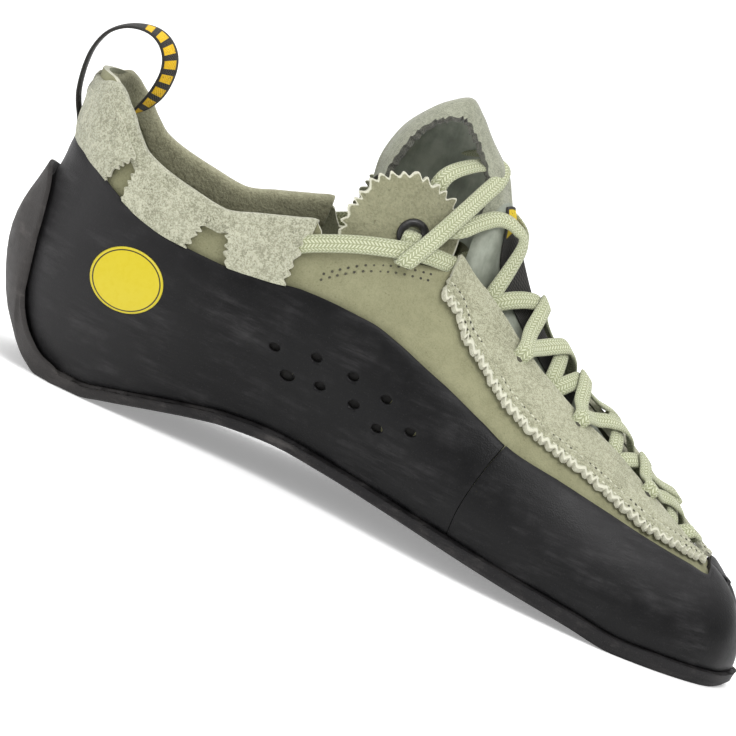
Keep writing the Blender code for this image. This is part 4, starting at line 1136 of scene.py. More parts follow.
@dataclass
class Upper:
    """Hollow leather upper: khaki quarter outside, brushed lining inside, pale cut edge."""

    last: Last
    wall: float = 1.8 * MM
    columns: int = 380
    rows: int = 40
    creases: tuple[Crease, ...] = (
        Crease((0.120, 0.074), (0.152, 0.050), 0.0050, 0.0005),
        Crease((0.088, 0.066), (0.110, 0.060), 0.0040, 0.0004),
        Crease((0.126, 0.060), (0.140, 0.048), 0.0040, -0.0004),
        Crease((0.152, 0.062), (0.178, 0.046), 0.0060, 0.0004),
        Crease((0.170, 0.052), (0.200, 0.040), 0.0050, -0.0003),
        Crease((0.052, 0.064), (0.056, 0.052), 0.0030, 0.0004),
    )

    def relief(self, point: Vector) -> float:
        """Height of the skin's creases and small waves at a point."""
        wave = ripple(point, 0.25, 11) + ripple(point, 0.10, 4)
        return wave - sum(crease.at(point.x, point.z) for crease in self.creases)

    def build(self) -> None:
        """Make the shell, open at collar, throat and underneath."""
        last = self.last

        def place(s: float, t: float) -> Vector:
            """Point of the outer face."""
            u = s * last.around
            v = t * last.rim(u)
            seen = last.skin(u, v)
            return last.point(u, v, self.relief(seen) * ease(t, 0.02, 0.2) * (1 - ease(t, 0.97, 1.0)))

        shape = sheet(self.columns, self.rows, place, closed=True)
        turn_away(shape, MIDDLE)
        add_piece("upper_shell", shape, (KHAKI, LINING_SUEDE, RAW_EDGE), ["upper"],
                  Wall(self.wall, back=1, edge=2, round_off=0.25 * MM))


class RandEdge(Enum):
    """Which end of the foot a rand covers."""

    REAR = "rear_rand"
    TOE = "toe_rand"


@dataclass
class Rands:
    """Thin rubber around the upper in two pieces, meeting at an upright seam on each side."""

    last: Last
    thickness: float = 2.0 * MM
    gap: float = 0.12 * MM
    hole_size: Flat = (3.4 * MM, 2.4 * MM)
    large_hole: int = 4
    large_size: Flat = (4.4 * MM, 3.0 * MM)
    lip: float = 0.5 * MM
    seam_lean: float = 1.35

    def seam(self, side: Side) -> float:
        """Section number of the upright seam."""
        return self.last.find(side, self.last.length * RAND_SEAM, 0.25 * self.last.ankle_height)[0]

    def lean(self, side: Side, v: float) -> float:
        """Shift of the seam in section numbers: it leans towards the toe at its top."""
        return -side.value * (v - 0.30) * self.seam_lean

    def patch(self, which: RandEdge) -> Mesh:
        """Bend the sheet of one rand."""
        last = self.last
        half_gap = 0.5 * self.gap / (last.length * 0.067)
        inner, outer = self.seam(Side.INNER), self.seam(Side.OUTER)
        rear = which is RandEdge.REAR
        first = outer - last.around + half_gap if rear else inner + half_gap
        end = inner - half_gap if rear else outer - half_gap
        tops: dict[float, float] = {}

        def place(s: float, t: float) -> Vector:
            """Point of the rand's outer face."""
            u = first + (end - first) * s
            if s not in tops:
                tops[s] = last.rand_top(u)
            v = tops[s] * t
            near_first, near_end = max(0.0, 1 - s * 8), max(0.0, 1 - (1 - s) * 8)
            first_side = Side.OUTER if rear else Side.INNER
            end_side = Side.INNER if rear else Side.OUTER
            u += near_first * self.lean(first_side, v) + near_end * self.lean(end_side, v)
            v = min(v, last.rand_top(u)) if t > 0.9 else v
            lip = self.lip * math.exp(-((1 - t) / 0.035) ** 2)
            pull = ripple(last.skin(u, v), 0.35, 17)
            return last.point(u, v, last.fit + self.thickness - lip + pull * ease(t, 0.0, 0.2) * (1 - t))

        columns = 340 if rear else 240
        return sheet(columns, 30, place)

    def cut_holes(self, rand: bpy.types.Object) -> None:
        """Punch the oval holes of the inner side through the rear rand."""
        punches = []
        for k, (x, z) in enumerate(RAND_HOLES):
            spot = self.last.on(Side.INNER, self.last.length * x, self.last.ankle_height * z, 0.0)
            wide, high = self.large_size if k == self.large_hole else self.hole_size
            shape = bmesh.new()
            bmesh.ops.create_cone(shape, cap_ends=True, segments=20, radius1=0.5, radius2=0.5, depth=8 * MM)
            bmesh.ops.scale(shape, verts=shape.verts, vec=(wide, high, 1.0))
            bmesh.ops.rotate(shape, verts=shape.verts, matrix=Matrix.Rotation(math.pi / 2, 3, "X"))
            bmesh.ops.translate(shape, verts=shape.verts, vec=spot - Vector((ORIGIN_FROM_HEEL, 0, 0)))
            punches.append(shape)
        mesh = bpy.data.meshes.new("punch")
        join(punches).to_mesh(mesh)
        punch = bpy.data.objects.new("punch", mesh)
        bpy.context.scene.collection.objects.link(punch)
        cut = rand.modifiers.new("holes", "BOOLEAN")
        cut.operation, cut.object, cut.solver = "DIFFERENCE", punch, "EXACT"
        seen = rand.evaluated_get(bpy.context.evaluated_depsgraph_get())
        finished = bpy.data.meshes.new_from_object(seen)
        rand.modifiers.clear()
        rand.data = finished
        bpy.data.objects.remove(punch, do_unlink=True)

    def shade_holes(self) -> None:
        """Paint the shade at the foot of each punched hole: a dark disc on the leather there."""
        shape = bmesh.new()
        for x, z in RAND_HOLES:
            spot = self.last.on(Side.INNER, self.last.length * x, self.last.ankle_height * z, 0.05 * MM)
            spread = Matrix.Diagonal((4.6 * MM, 0.6 * MM, 3.4 * MM, 1.0))
            place = Matrix.Translation(spot) @ spread
            bmesh.ops.create_icosphere(shape, subdivisions=3, radius=0.5, matrix=place)
        add_piece("rand_hole_shade_discs", shape, (RAND_HOLE_SHADOW,))

    def build(self) -> None:
        """Make both rands."""
        for which in RandEdge:
            shape = self.patch(which)
            turn_away(shape, MIDDLE)
            rand = add_piece(f"{which.value}_sheet", shape, (RAND_RUBBER, RAND_EDGE), [which.value],
                             Wall(self.thickness - 0.3 * MM, edge=1, round_off=0.3 * MM))
            if which is RandEdge.REAR:
                self.cut_holes(rand)
        self.shade_holes()


@dataclass
class Outsole:
    """One rubber sheet under the foot, carried up the back of the heel as a band."""

    last: Last
    rand_thickness: float = 2.0 * MM
    proud: float = 0.8 * MM
    band: float = 2.8 * MM
    band_gap: float = 1.6 * MM
    corner: float = 1.4 * MM
    edge_round: float = 0.45 * MM
    columns: int = 260
    climb: int = 14
    across: int = 26

    def rim_offset(self, u: float) -> float:
        """Distance of the outer face from the upper, greater at the heel band."""
        share = 1 - ease(self.last.skin(u, 0.0).x, 0.10 * self.last.length, 0.17 * self.last.length)
        return 2 * self.last.fit + self.rand_thickness + self.proud + (self.band - self.proud) * share

    def side_points(self, u: float) -> tuple[list[Vector], list[Vector]]:
        """Outer and inner points of one side, from the top of the edge down and under."""
        last = self.last
        edge = last.crossing(u, last.below_band, last.fit + self.rand_thickness)
        rim = self.rim_offset(u)
        climb = self.climb
        outer, inner = [], []
        for k in range(climb, -1, -1):
            v = edge * k / climb
            crown = 0.7 * MM * math.sin(math.pi * min(1.0, k / climb * 1.15)) * ease(edge, 0.05, 0.25)
            outer.append(last.point(u, v, rim + crown, -last.fit))
            inner.append(last.point(u, v, self.band_gap + last.fit + self.rand_thickness, -last.fit))
        foot = last.point(u, 0.0, rim - self.corner, -last.fit)
        share = ease(foot.x, 0.08 * last.length, 0.13 * last.length)
        outer[-1].z -= share * (last.sole_thickness - self.corner) * 0.8
        foot.z = last.sole_bottom(foot.x, foot.y)
        outer.append(foot)
        inner.append(last.point(u, 0.0, 0.0, -last.fit))
        return outer, inner

    def ribs(self) -> tuple[list[list[Vector]], list[list[Vector]]]:
        """Rows of outer and inner points from the inner side's edge to the outer side's."""
        outer, inner = [], []
        last = self.last
        for i in range(self.columns + 1):
            u = last.toe * (i / self.columns)
            left_out, left_in = self.side_points(u)
            right_out, right_in = self.side_points(last.around - u)
            row_out, row_in = list(left_out), list(left_in)
            for k in range(1, self.across):
                t = k / self.across
                p, q = left_out[-1].lerp(right_out[-1], t), left_in[-1].lerp(right_in[-1], t)
                p.z, q.z = last.sole_bottom(p.x, p.y), last.sole_top(q.x, q.y)
                row_out.append(p)
                row_in.append(q)
            outer.append(row_out + right_out[::-1])
            inner.append(row_in + right_in[::-1])
        return outer, inner

    def build(self) -> None:
        """Make the sheet: its two faces bent from grids and bridged round their edge."""
        outer, inner = self.ribs()
        rows = len(outer[0]) - 1
        faces = []
        for grid in (outer, inner):
            faces.append(sheet(self.columns, rows,
                               lambda s, t, g=grid: g[round(s * self.columns)][round(t * rows)].copy()))
        shape = join(faces)
        rim = [edge for edge in shape.edges if edge.is_boundary]
        bmesh.ops.bridge_loops(shape, edges=rim)
        bmesh.ops.remove_doubles(shape, verts=shape.verts, dist=MM / 100)
        bmesh.ops.dissolve_degenerate(shape, edges=shape.edges, dist=MM / 200)
        close_ends(shape)
        sole = add_piece("sole_sheet", shape, (SOLE_RUBBER,), ["outsole"])
        round_edges(sole, self.edge_round, 48.0)


@dataclass
class Insole:
    """Board in the bottom of the upper."""

    last: Last
    thickness: float = 2.0 * MM
    inset: float = 3.9 * MM

    def edge(self, u: float) -> Vector:
        """Point level with the foot of the upper, clear inside its wall."""
        normal, _ = self.last.directions(u, 0.0)
        normal.z = 0.0
        return self.last.skin(u, 0.0) - normal.normalized() * self.inset

    def build(self) -> None:
        """Make the board."""
        last = self.last

        def place(s: float, t: float) -> Vector:
            """Point of the board's upper face."""
            u = 1.0 + (last.toe - 2.0) * s
            point = self.edge(u).lerp(self.edge(last.around - u), t)
            hollow = 0.8 * MM * math.sin(math.pi * t)
            return Vector((point.x, point.y, last.sole_top(point.x, point.y) + 2 * last.fit
                           + self.thickness - hollow * ease(s, 0, 0.2) * (1 - ease(s, 0.8, 1))))

        shape = sheet(120, 24, place)
        turn_away(shape, Vector((0.11, 0.0, -1.0)))
        add_piece("insole_board", shape, (BOARD,), ["insole"], Wall(1.2 * MM))


def tooth(distance: float, pitch: float, seed: float) -> float:
    """Outline of a pinked edge, uneven as shears leave it.

    Args:
        distance: way gone along the edge.
        pitch: distance between teeth.
        seed: number that makes the edge its own.

    Returns:
        The height there, about -1 to 1.
    """
    uneven = 0.6 * noise.noise(Vector((distance / pitch * 0.7, seed, 0.0)))
    wave = math.cos(2 * math.pi * (distance / pitch + uneven))
    return wave * (1 + 0.9 * noise.noise(Vector((distance / pitch * 0.8, seed, 5.0))))


@dataclass
class TunnelPads:
    """Padded suede of one side's collar: a rolled band on the rim and three pinked tunnels.

    outer_part and roll_part are shares of the band's width, on the outer face and over the rim.
    """

    last: Last
    side: Side
    thickness: float = 1.8 * MM
    band_height: float = 6.0 * MM
    roll: float = 1.1 * MM
    inner_reach: float = 7.0 * MM
    pitch: float = 2.6 * MM
    bite: float = 0.42 * MM
    billow: float = 0.5 * MM
    far_roll: float = 2.6 * MM
    tab_drop: float = 3.6 * MM
    tab_sections: Flat = (0.9, 1.9)
    outer_part: float = 0.45
    roll_part: float = 0.20
    leather: float = 1.8 * MM
    pad_height: float = 14 * MM

    def heel_share(self, u: float) -> float:
        """One at the heel's tab, falling to zero beside it."""
        return 1 - ease(min(u, self.last.around - u), *self.tab_sections)

    def number(self, x: float, z: float) -> float:
        """Section number seen at shares of the length and the ankle height."""
        return self.last.find(self.side, self.last.length * x, self.last.ankle_height * z)[0]

    def band_point(self, u: float, t: float, rim: float) -> Vector:
        """Point around the collar's rolled band, from its lower outer edge over the rim and in."""
        last = self.last
        middle = -self.leather / 2
        reach = self.leather / 2 + last.fit + self.thickness / 2
        puff = ripple(last.skin(u, rim), 0.35, 7)
        sunk = self.tab_drop * self.heel_share(u)
        rolled = self.outer_part + self.roll_part
        if t < self.outer_part:
            share = t / self.outer_part
            down = self.band_height * (1 - share)
            ragged = ripple(last.skin(u, rim), 0.4, 1.6) * (1 - share)
            swell = self.billow * math.sin(math.pi * min(1.0, share * 1.3))
            return last.point(u, rim, middle + reach + swell + puff * share, -down + ragged - sunk)
        if t < rolled:
            angle = math.pi * (t - self.outer_part) / self.roll_part
            roll = self.roll if self.side is Side.INNER else self.far_roll
            out = middle + (reach + puff) * math.cos(angle)
            return last.point(u, rim, out, roll * math.sin(angle) - sunk)
        share = (t - rolled) / (1 - rolled)
        settle = (reach - self.leather / 2 - 0.2 * MM) * share ** 3 - puff * (1 - share)
        return last.point(u, rim, middle - reach + settle, -self.inner_reach * share - sunk)

    def build_band(self) -> None:
        """Make the rolled band from the heel to the front tunnel's end."""
        last, side = self.last, self.side
        first = 0.0 if side is Side.INNER else float(last.around)
        end = self.number(0.336, 0.70)

        def place(s: float, t: float) -> Vector:
            """Point of the band's face."""
            u = first + (end - first) * s
            return self.band_point(u, t, last.rim(u))

        shape = sheet(190, 26, place)
        bmesh.ops.recalc_face_normals(shape, faces=shape.faces)
        shape.faces.ensure_lookup_table()
        lowest = min(shape.faces, key=lambda face: (face.calc_center_median() - place(0.5, 0.2)).length)
        if lowest.normal.y * side.value < 0:
            bmesh.ops.reverse_faces(shape, faces=shape.faces)
        # The far band takes a darker copy of the pale suede: painted shade inside the collar.
        face = FUZZY if side is Side.INNER else FAR_COLLAR
        add_piece(f"collar_band_{side.word}", shape, (face, RAW_EDGE), (),
                  Wall(0.8 * MM, edge=1, round_off=0.2 * MM))

    def build_pad(self, label: str, corners: tuple[float, float, float, float]) -> None:
        """Make one tunnel with its free ends pinked."""
        last, side = self.last, self.side
        rear_top, rear_foot, front_top, front_foot = corners
        ends = {
            "rear_top": self.number(rear_top, 0.68), "rear_foot": self.number(rear_foot, 0.58),
            "front_top": self.number(front_top, 0.68), "front_foot": self.number(front_foot, 0.58),
        }
        if label == "rear":
            ends["rear_top"] = ends["rear_foot"] = 0.42 if side is Side.INNER else last.around - 0.42
        unit = last.length * 0.05
        seed = len(label) + side.value * 3.0

        def place(s: float, t: float) -> Vector:
            """Point of the tunnel's outer face."""
            begin = ends["rear_foot"] + (ends["rear_top"] - ends["rear_foot"]) * t
            stop = ends["front_foot"] + (ends["front_top"] - ends["front_foot"]) * t
            along = t * self.pad_height
            jag = tooth(along, self.pitch, seed) * self.bite / unit
            back_jag = tooth(along, self.pitch, seed + 9) * self.bite / unit * (label != "rear")
            u = begin + (stop - begin) * s
            u -= side.value * (jag * ease(s, 0.86, 1.0) + back_jag * (1 - ease(s, 0.0, 0.14)))
            low = last.rand_top(u) - 0.004
            high = last.rim(u) - 0.030 - 0.04 * self.heel_share(u)
            v = low + (high - low) * t
            swell = self.billow * math.sin(math.pi * t) + ripple(last.skin(u, v), 0.4, 6)
            flare = 0.5 * MM * (ease(s, 0.85, 1.0) + (1 - ease(s, 0.0, 0.15)) * (label != "rear"))
            return last.point(u, v, last.fit + self.thickness * 0.9 + swell + flare)

        shape = sheet(56, 44, place)
        turn_away(shape, Vector((0.05, 0.0, 0.06)))
        add_piece(f"tunnel_{label}_{side.word}", shape, (FUZZY, RAW_EDGE),
                  [f"tunnel_pad_{label}_{side.word}"],
                  Wall(self.thickness * 0.8, edge=1, round_off=0.25 * MM))

    def build(self) -> None:
        """Make the band and its tunnels."""
        self.build_band()
        for label, corners in PADS.items():
            self.build_pad(label, corners)


@dataclass
class Eyestay:
    """Suede along one side of the throat: pinked pale lower edge and grooves for two rows of stitches."""

    last: Last
    side: Side
    thickness: float = 1.9 * MM
    pitch: float = 2.5 * MM
    bite: float = 0.75 * MM
    stitch_pitch: float = 2.2 * MM
    stitch_rows: Flat = (1.9 * MM, 4.3 * MM)

    def span(self) -> Flat:
        """Section numbers of the two ends."""
        last = self.last
        first = last.find(self.side, 0.500 * last.length, 0.76 * last.ankle_height)[0]
        end = last.find(self.side, 0.902 * last.length, 0.35 * last.ankle_height)[0]
        return first, end

    def low_edge(self, u: float) -> float:
        """Share of the height of the pinked line at a section."""
        last = self.last
        return last.crossing(u, lambda p: p.z < last.height(PINKED_LINE, p.x))

    def build(self) -> None:
        """Make the strip."""
        last = self.last
        first, end = self.span()
        edges: dict[float, Triple] = {}
        travelled = [0.0]
        seen: list[Vector] = []

        def column(s: float) -> Triple:
            """Lower share, upper share and wall height at a column."""
            if s not in edges:
                u = first + (end - first) * s
                low, high = self.low_edge(u), last.rim(u)
                here = last.skin(u, low)
                if seen:
                    travelled.append(travelled[-1] + (here - seen[-1]).length)
                seen.append(here)
                edges[s] = (low, high, (last.skin(u, high) - here).length)
            return edges[s]

        columns = 300
        for k in range(columns + 1):
            column(round(k / columns, 6))
        keys = {s: travelled[k] for k, s in enumerate(edges)}

        def place(s: float, t: float) -> Vector:
            """Point of the strip's outer face."""
            u = first + (end - first) * s
            low, high, tall = column(s)
            bottom = low + tooth(keys[s], self.pitch, 2.0) * self.bite / max(tall, 4 * MM) * (high - low)
            v = bottom + (high + 0.006 - bottom) * t
            near_low = math.exp(-t * tall / (1.2 * MM))
            near_high = math.exp(-(1 - t) * tall / (1.0 * MM))
            groove = sum(0.25 * MM * math.exp(-((t * tall - row) / (0.5 * MM)) ** 2)
                         for row in self.stitch_rows)
            wave = ripple(last.skin(u, v), 0.3, 9)
            lift = 0.35 * MM * near_low - 0.3 * MM * near_high - groove + wave
            return last.point(u, v, last.fit + self.thickness + lift)

        shape = sheet(columns, 34, place)
        turn_away(shape, Vector((0.16, -0.005, 0.02)))
        word = self.side.word
        add_piece(f"eyestay_strip_{word}", shape, (KHAKI_FUZZ, RAW_EDGE), [f"eyestay_{word}"],
                  Wall(self.thickness - 0.3 * MM, edge=1, round_off=0.2 * MM))


@dataclass
class EarFlap:
    """Flap beside the ankle, sewn inside the upper, with pinked edges and a ringed eyelet."""

    last: Last
    side: Side
    thickness: float = 1.6 * MM
    hole: float = 2.7 * MM
    ring: float = 4.5 * MM
    pitch: float = 3.3 * MM
    bite: float = 0.85 * MM
    set_in: float = 2.4 * MM
    top_curl: float = 0.8 * MM
    back_curl: float = 1.2 * MM

    @property
    def centre(self) -> Flat:
        """Middle of the eyelet seen from the side."""
        return (self.last.length * EYELET_PLACE[0], self.last.ankle_height * EYELET_PLACE[1])

    def outline(self, count: int) -> list[Flat]:
        """Even points of the flap's outline, its free edges pinked."""
        last = self.last
        corners = [Vector((last.length * x, 0.0, last.ankle_height * z)) for x, z in EAR_OUTLINE]
        corners.append(corners[0])
        steps = 400
        fine = [spline(corners, k / steps) for k in range(steps + 1)]
        lengths = [0.0]
        for a, b in zip(fine, fine[1:]):
            lengths.append(lengths[-1] + (b - a).length)
        found = []
        cx, cz = self.centre
        right, low = EAR_PINKED[0] * last.length, EAR_PINKED[1] * last.ankle_height
        for k in range(count):
            target = lengths[-1] * k / count
            j = min(steps - 1, bisect.bisect_right(lengths, target) - 1)
            part = (target - lengths[j]) / max(1e-9, lengths[j + 1] - lengths[j])
            point = fine[j].lerp(fine[j + 1], part)
            free = ease(point.z, low - 4 * MM, low) * (1 - ease(point.x, right - 1 * MM, right + 2 * MM))
            reach = math.hypot(point.x - cx, point.z - cz)
            grow = 1 + tooth(target, self.pitch, 4.0) * self.bite * free / reach
            found.append((cx + (point.x - cx) * grow, cz + (point.z - cz) * grow))
        return found

    def curl(self, x: float, z: float) -> float:
        """Outward curl of the flap's free edges and its soft waves."""
        rise = ease(z, 78 * MM, 100 * MM) * self.top_curl
        back = (1 - ease(x, 84 * MM, 96 * MM)) * ease(z, 74 * MM, 86 * MM) * self.back_curl
        wave = ripple(Vector((x, 0.3, z)), 0.5, 8) * ease(z, 75 * MM, 90 * MM)
        return rise + back + wave

    def build(self) -> None:
        """Make the flap and its ring."""
        last, side = self.last, self.side
        count = 300
        outline = self.outline(count)
        cx, cz = self.centre

        def place(s: float, t: float) -> Vector:
            """Point of the flap's outer face."""
            x, z = outline[round(s * count) % count]
            reach = math.hypot(x - cx, z - cz)
            share = (self.hole + (reach - self.hole) * t ** 0.9) / reach
            px, pz = cx + (x - cx) * share, cz + (z - cz) * share
            return last.on(side, px, pz, -self.set_in + self.curl(px, pz))

        shape = sheet(count, 20, place, closed=True)
        turn_away(shape, Vector((0.104, 0.0, 0.08)))
        word = side.word
        add_piece(f"ear_{word}", shape, (EAR_LEATHER, RAW_EDGE, LINING_SUEDE), [f"ear_flap_{word}"],
                  Wall(self.thickness, back=2, edge=1, round_off=0.15 * MM))
        self.build_ring()

    def build_ring(self) -> None:
        """Make the eyelet: a rolled ring on the flap's outer face with its barrel through the hole."""
        last, side = self.last, self.side
        cx, cz = self.centre
        profile = [(self.hole - 0.5 * MM, -1.4 * MM), (self.hole - 0.5 * MM, 0.2 * MM),
                   (self.hole + 0.1 * MM, 0.85 * MM), (0.5 * (self.hole + self.ring), 1.1 * MM),
                   (self.ring - 0.3 * MM, 0.8 * MM), (self.ring, 0.1 * MM), (self.ring - 0.4 * MM, -0.1 * MM)]

        def place(s: float, t: float) -> Vector:
            """Point of the ring's face."""
            point = spline([Vector((r, h, 0.0)) for r, h in profile], t)
            angle = 2 * math.pi * s
            return last.on(side, cx + point.x * math.cos(angle), cz + point.x * math.sin(angle),
                           -self.set_in + self.curl(cx, cz) + point.y)

        shape = sheet(48, 24, place, closed=True)
        turn_away(shape, last.on(side, cx, cz, -6 * MM))
        word = side.word
        add_piece(f"eyelet_ring_{word}", shape, (BLACK_RING,), [f"eyelet_{word}"], Wall(0.3 * MM))


@dataclass
class Tongue:
    """One curved sheet under the lacing, with a brushed hood at its top and a plain woven label.

    The ribs inside the throat start first_rib sections from the toe and lie rib_step apart. label gives
    the start and end of the label along the tongue and half its width, as shares.
    """

    last: Last
    thickness: float = 2.2 * MM
    below: float = 3.3 * MM
    across: int = 8
    hidden: float = 0.07
    rise: float = 3.0 * MM
    hood_start: float = 0.53
    label: Triple = (0.30, 0.525, 0.17)
    hood_shift: Triple = (1.9 * MM, 0.0, -1.2 * MM)
    pitch: float = 2.6 * MM
    throat_ribs: int = 10
    first_rib: float = 3.2
    rib_step: float = 0.62

    def throat_rib(self, u: float) -> list[Vector]:
        """Points across the tongue inside the throat."""
        last, half = self.last, self.across // 2
        rise = self.rise * max(0.0, (last.toe - self.first_rib - u) / self.rib_step - 6) / 3
        sides = []
        for number in (u, last.around - u):
            start = max(0.3, last.rim(number) - self.hidden)
            side = []
            for share in (k / half for k in range(half + 1)):
                depth = -self.below - last.fit * (1 - share) + rise * share ** 2
                side.append(last.point(number, start + (1 - start) * share, depth))
            sides.append(side)
        middle = (sides[0][-1] + sides[1][-1]) / 2
        return sides[0][:-1] + [middle] + sides[1][-2::-1]

    def hood_rib(self, fold: Fold) -> list[Vector]:
        """Points across one fold of the hood."""
        last, half = self.last, self.across // 2
        scale = (last.length, last.ball_width, last.ankle_height)
        ridge, near, far = (Vector([a * b for a, b in zip(part, scale)]) + Vector(self.hood_shift)
                            for part in (fold.ridge, fold.near, fold.far))
        reach, span = (ridge - near).length, (ridge - far).length
        brow = near.lerp(ridge, 0.55) + Vector((0, -0.10 * reach, 0.22 * reach))
        shoulder = ridge.lerp(far, 0.28) + Vector((0, 0.060 * last.ball_width, 0.10 * span))
        flank = ridge.lerp(far, 0.62) + Vector((0, 0.035 * last.ball_width, 0.02 * span))
        near_side = [spline([near, brow, ridge], k / half) for k in range(half + 1)]
        far_side = [spline([ridge, shoulder, flank, far], k / half) for k in range(half + 1)]
        return near_side + far_side[1:]

    def build(self) -> None:
        """Make the sheet and its label."""
        last = self.last
        first = last.toe - self.first_rib
        ribs = [self.throat_rib(first - self.rib_step * k) for k in range(self.throat_ribs)]
        ribs += [self.hood_rib(fold) for fold in HOOD]
        rows: dict[float, list[Vector]] = {}

        def row_at(s: float) -> list[Vector]:
            """Points across the tongue at a share of its length."""
            if s not in rows:
                rows[s] = [spline([rib[j] for rib in ribs], s) for j in range(self.across + 1)]
            return rows[s]

        def place(s: float, t: float) -> Vector:
            """Point of the tongue's outer face."""
            row = row_at(s)
            hood = ease(s, self.hood_start - 0.03, self.hood_start + 0.03)
            edge = 0.025 * (1 + tooth(s * 120 * MM, self.pitch, 7.0)) * hood * math.exp(-t / 0.06)
            point = spline(row, min(1.0, t + edge))
            wave = ripple(point, 0.5, 9) * hood
            return point + Vector((0.0, -0.3, 1.0)).normalized() * wave

        shape = sheet(150, 52, place)
        turn_away(shape, Vector((0.115, 0.012, 0.05)))
        layer = shape.loops.layers.uv.active
        for face in shape.faces:
            if face.loops[0][layer].uv.x > self.hood_start:
                face.material_index = 1
        # The hood's cut edge takes dark suede: painted shade for the shadow line between its band and the
        # lining.
        finishes = (TONGUE_CLOTH, HOOD_SUEDE, TONGUE_LINING, TONGUE_LINING, RAW_EDGE, HOOD_RIM_SHADE)
        add_piece("tongue_sheet", shape, finishes, ["tongue"],
                  Wall(self.thickness, back=2, edge=4, round_off=0.3 * MM))
        self.build_label(row_at)

    def build_label(self, row_at: Callable[[float], list[Vector]]) -> None:
        """Make the plain label lying over the ridge of the tongue."""
        start, end, half = self.label

        def place(s: float, t: float) -> Vector:
            """Point of the label's face."""
            along = round(start + (end - start) * s, 6)
            across = 0.5 + (t - 0.55) * 2 * half
            point = spline(row_at(along), across)
            ahead = spline(row_at(round(along + 0.01, 6)), across)
            beside = spline(row_at(along), across + 0.02)
            normal = (ahead - point).cross(beside - point).normalized()
            if normal.z < 0:
                normal.negate()
            return point + normal * 0.7 * MM

        shape = sheet(44, 24, place, scale=(28.0, 18.0))
        turn_away(shape, Vector((0.13, -0.002, 0.04)))
        add_piece("tongue_label", shape, (LABEL,), (), Wall(0.5 * MM, round_off=0.1 * MM))


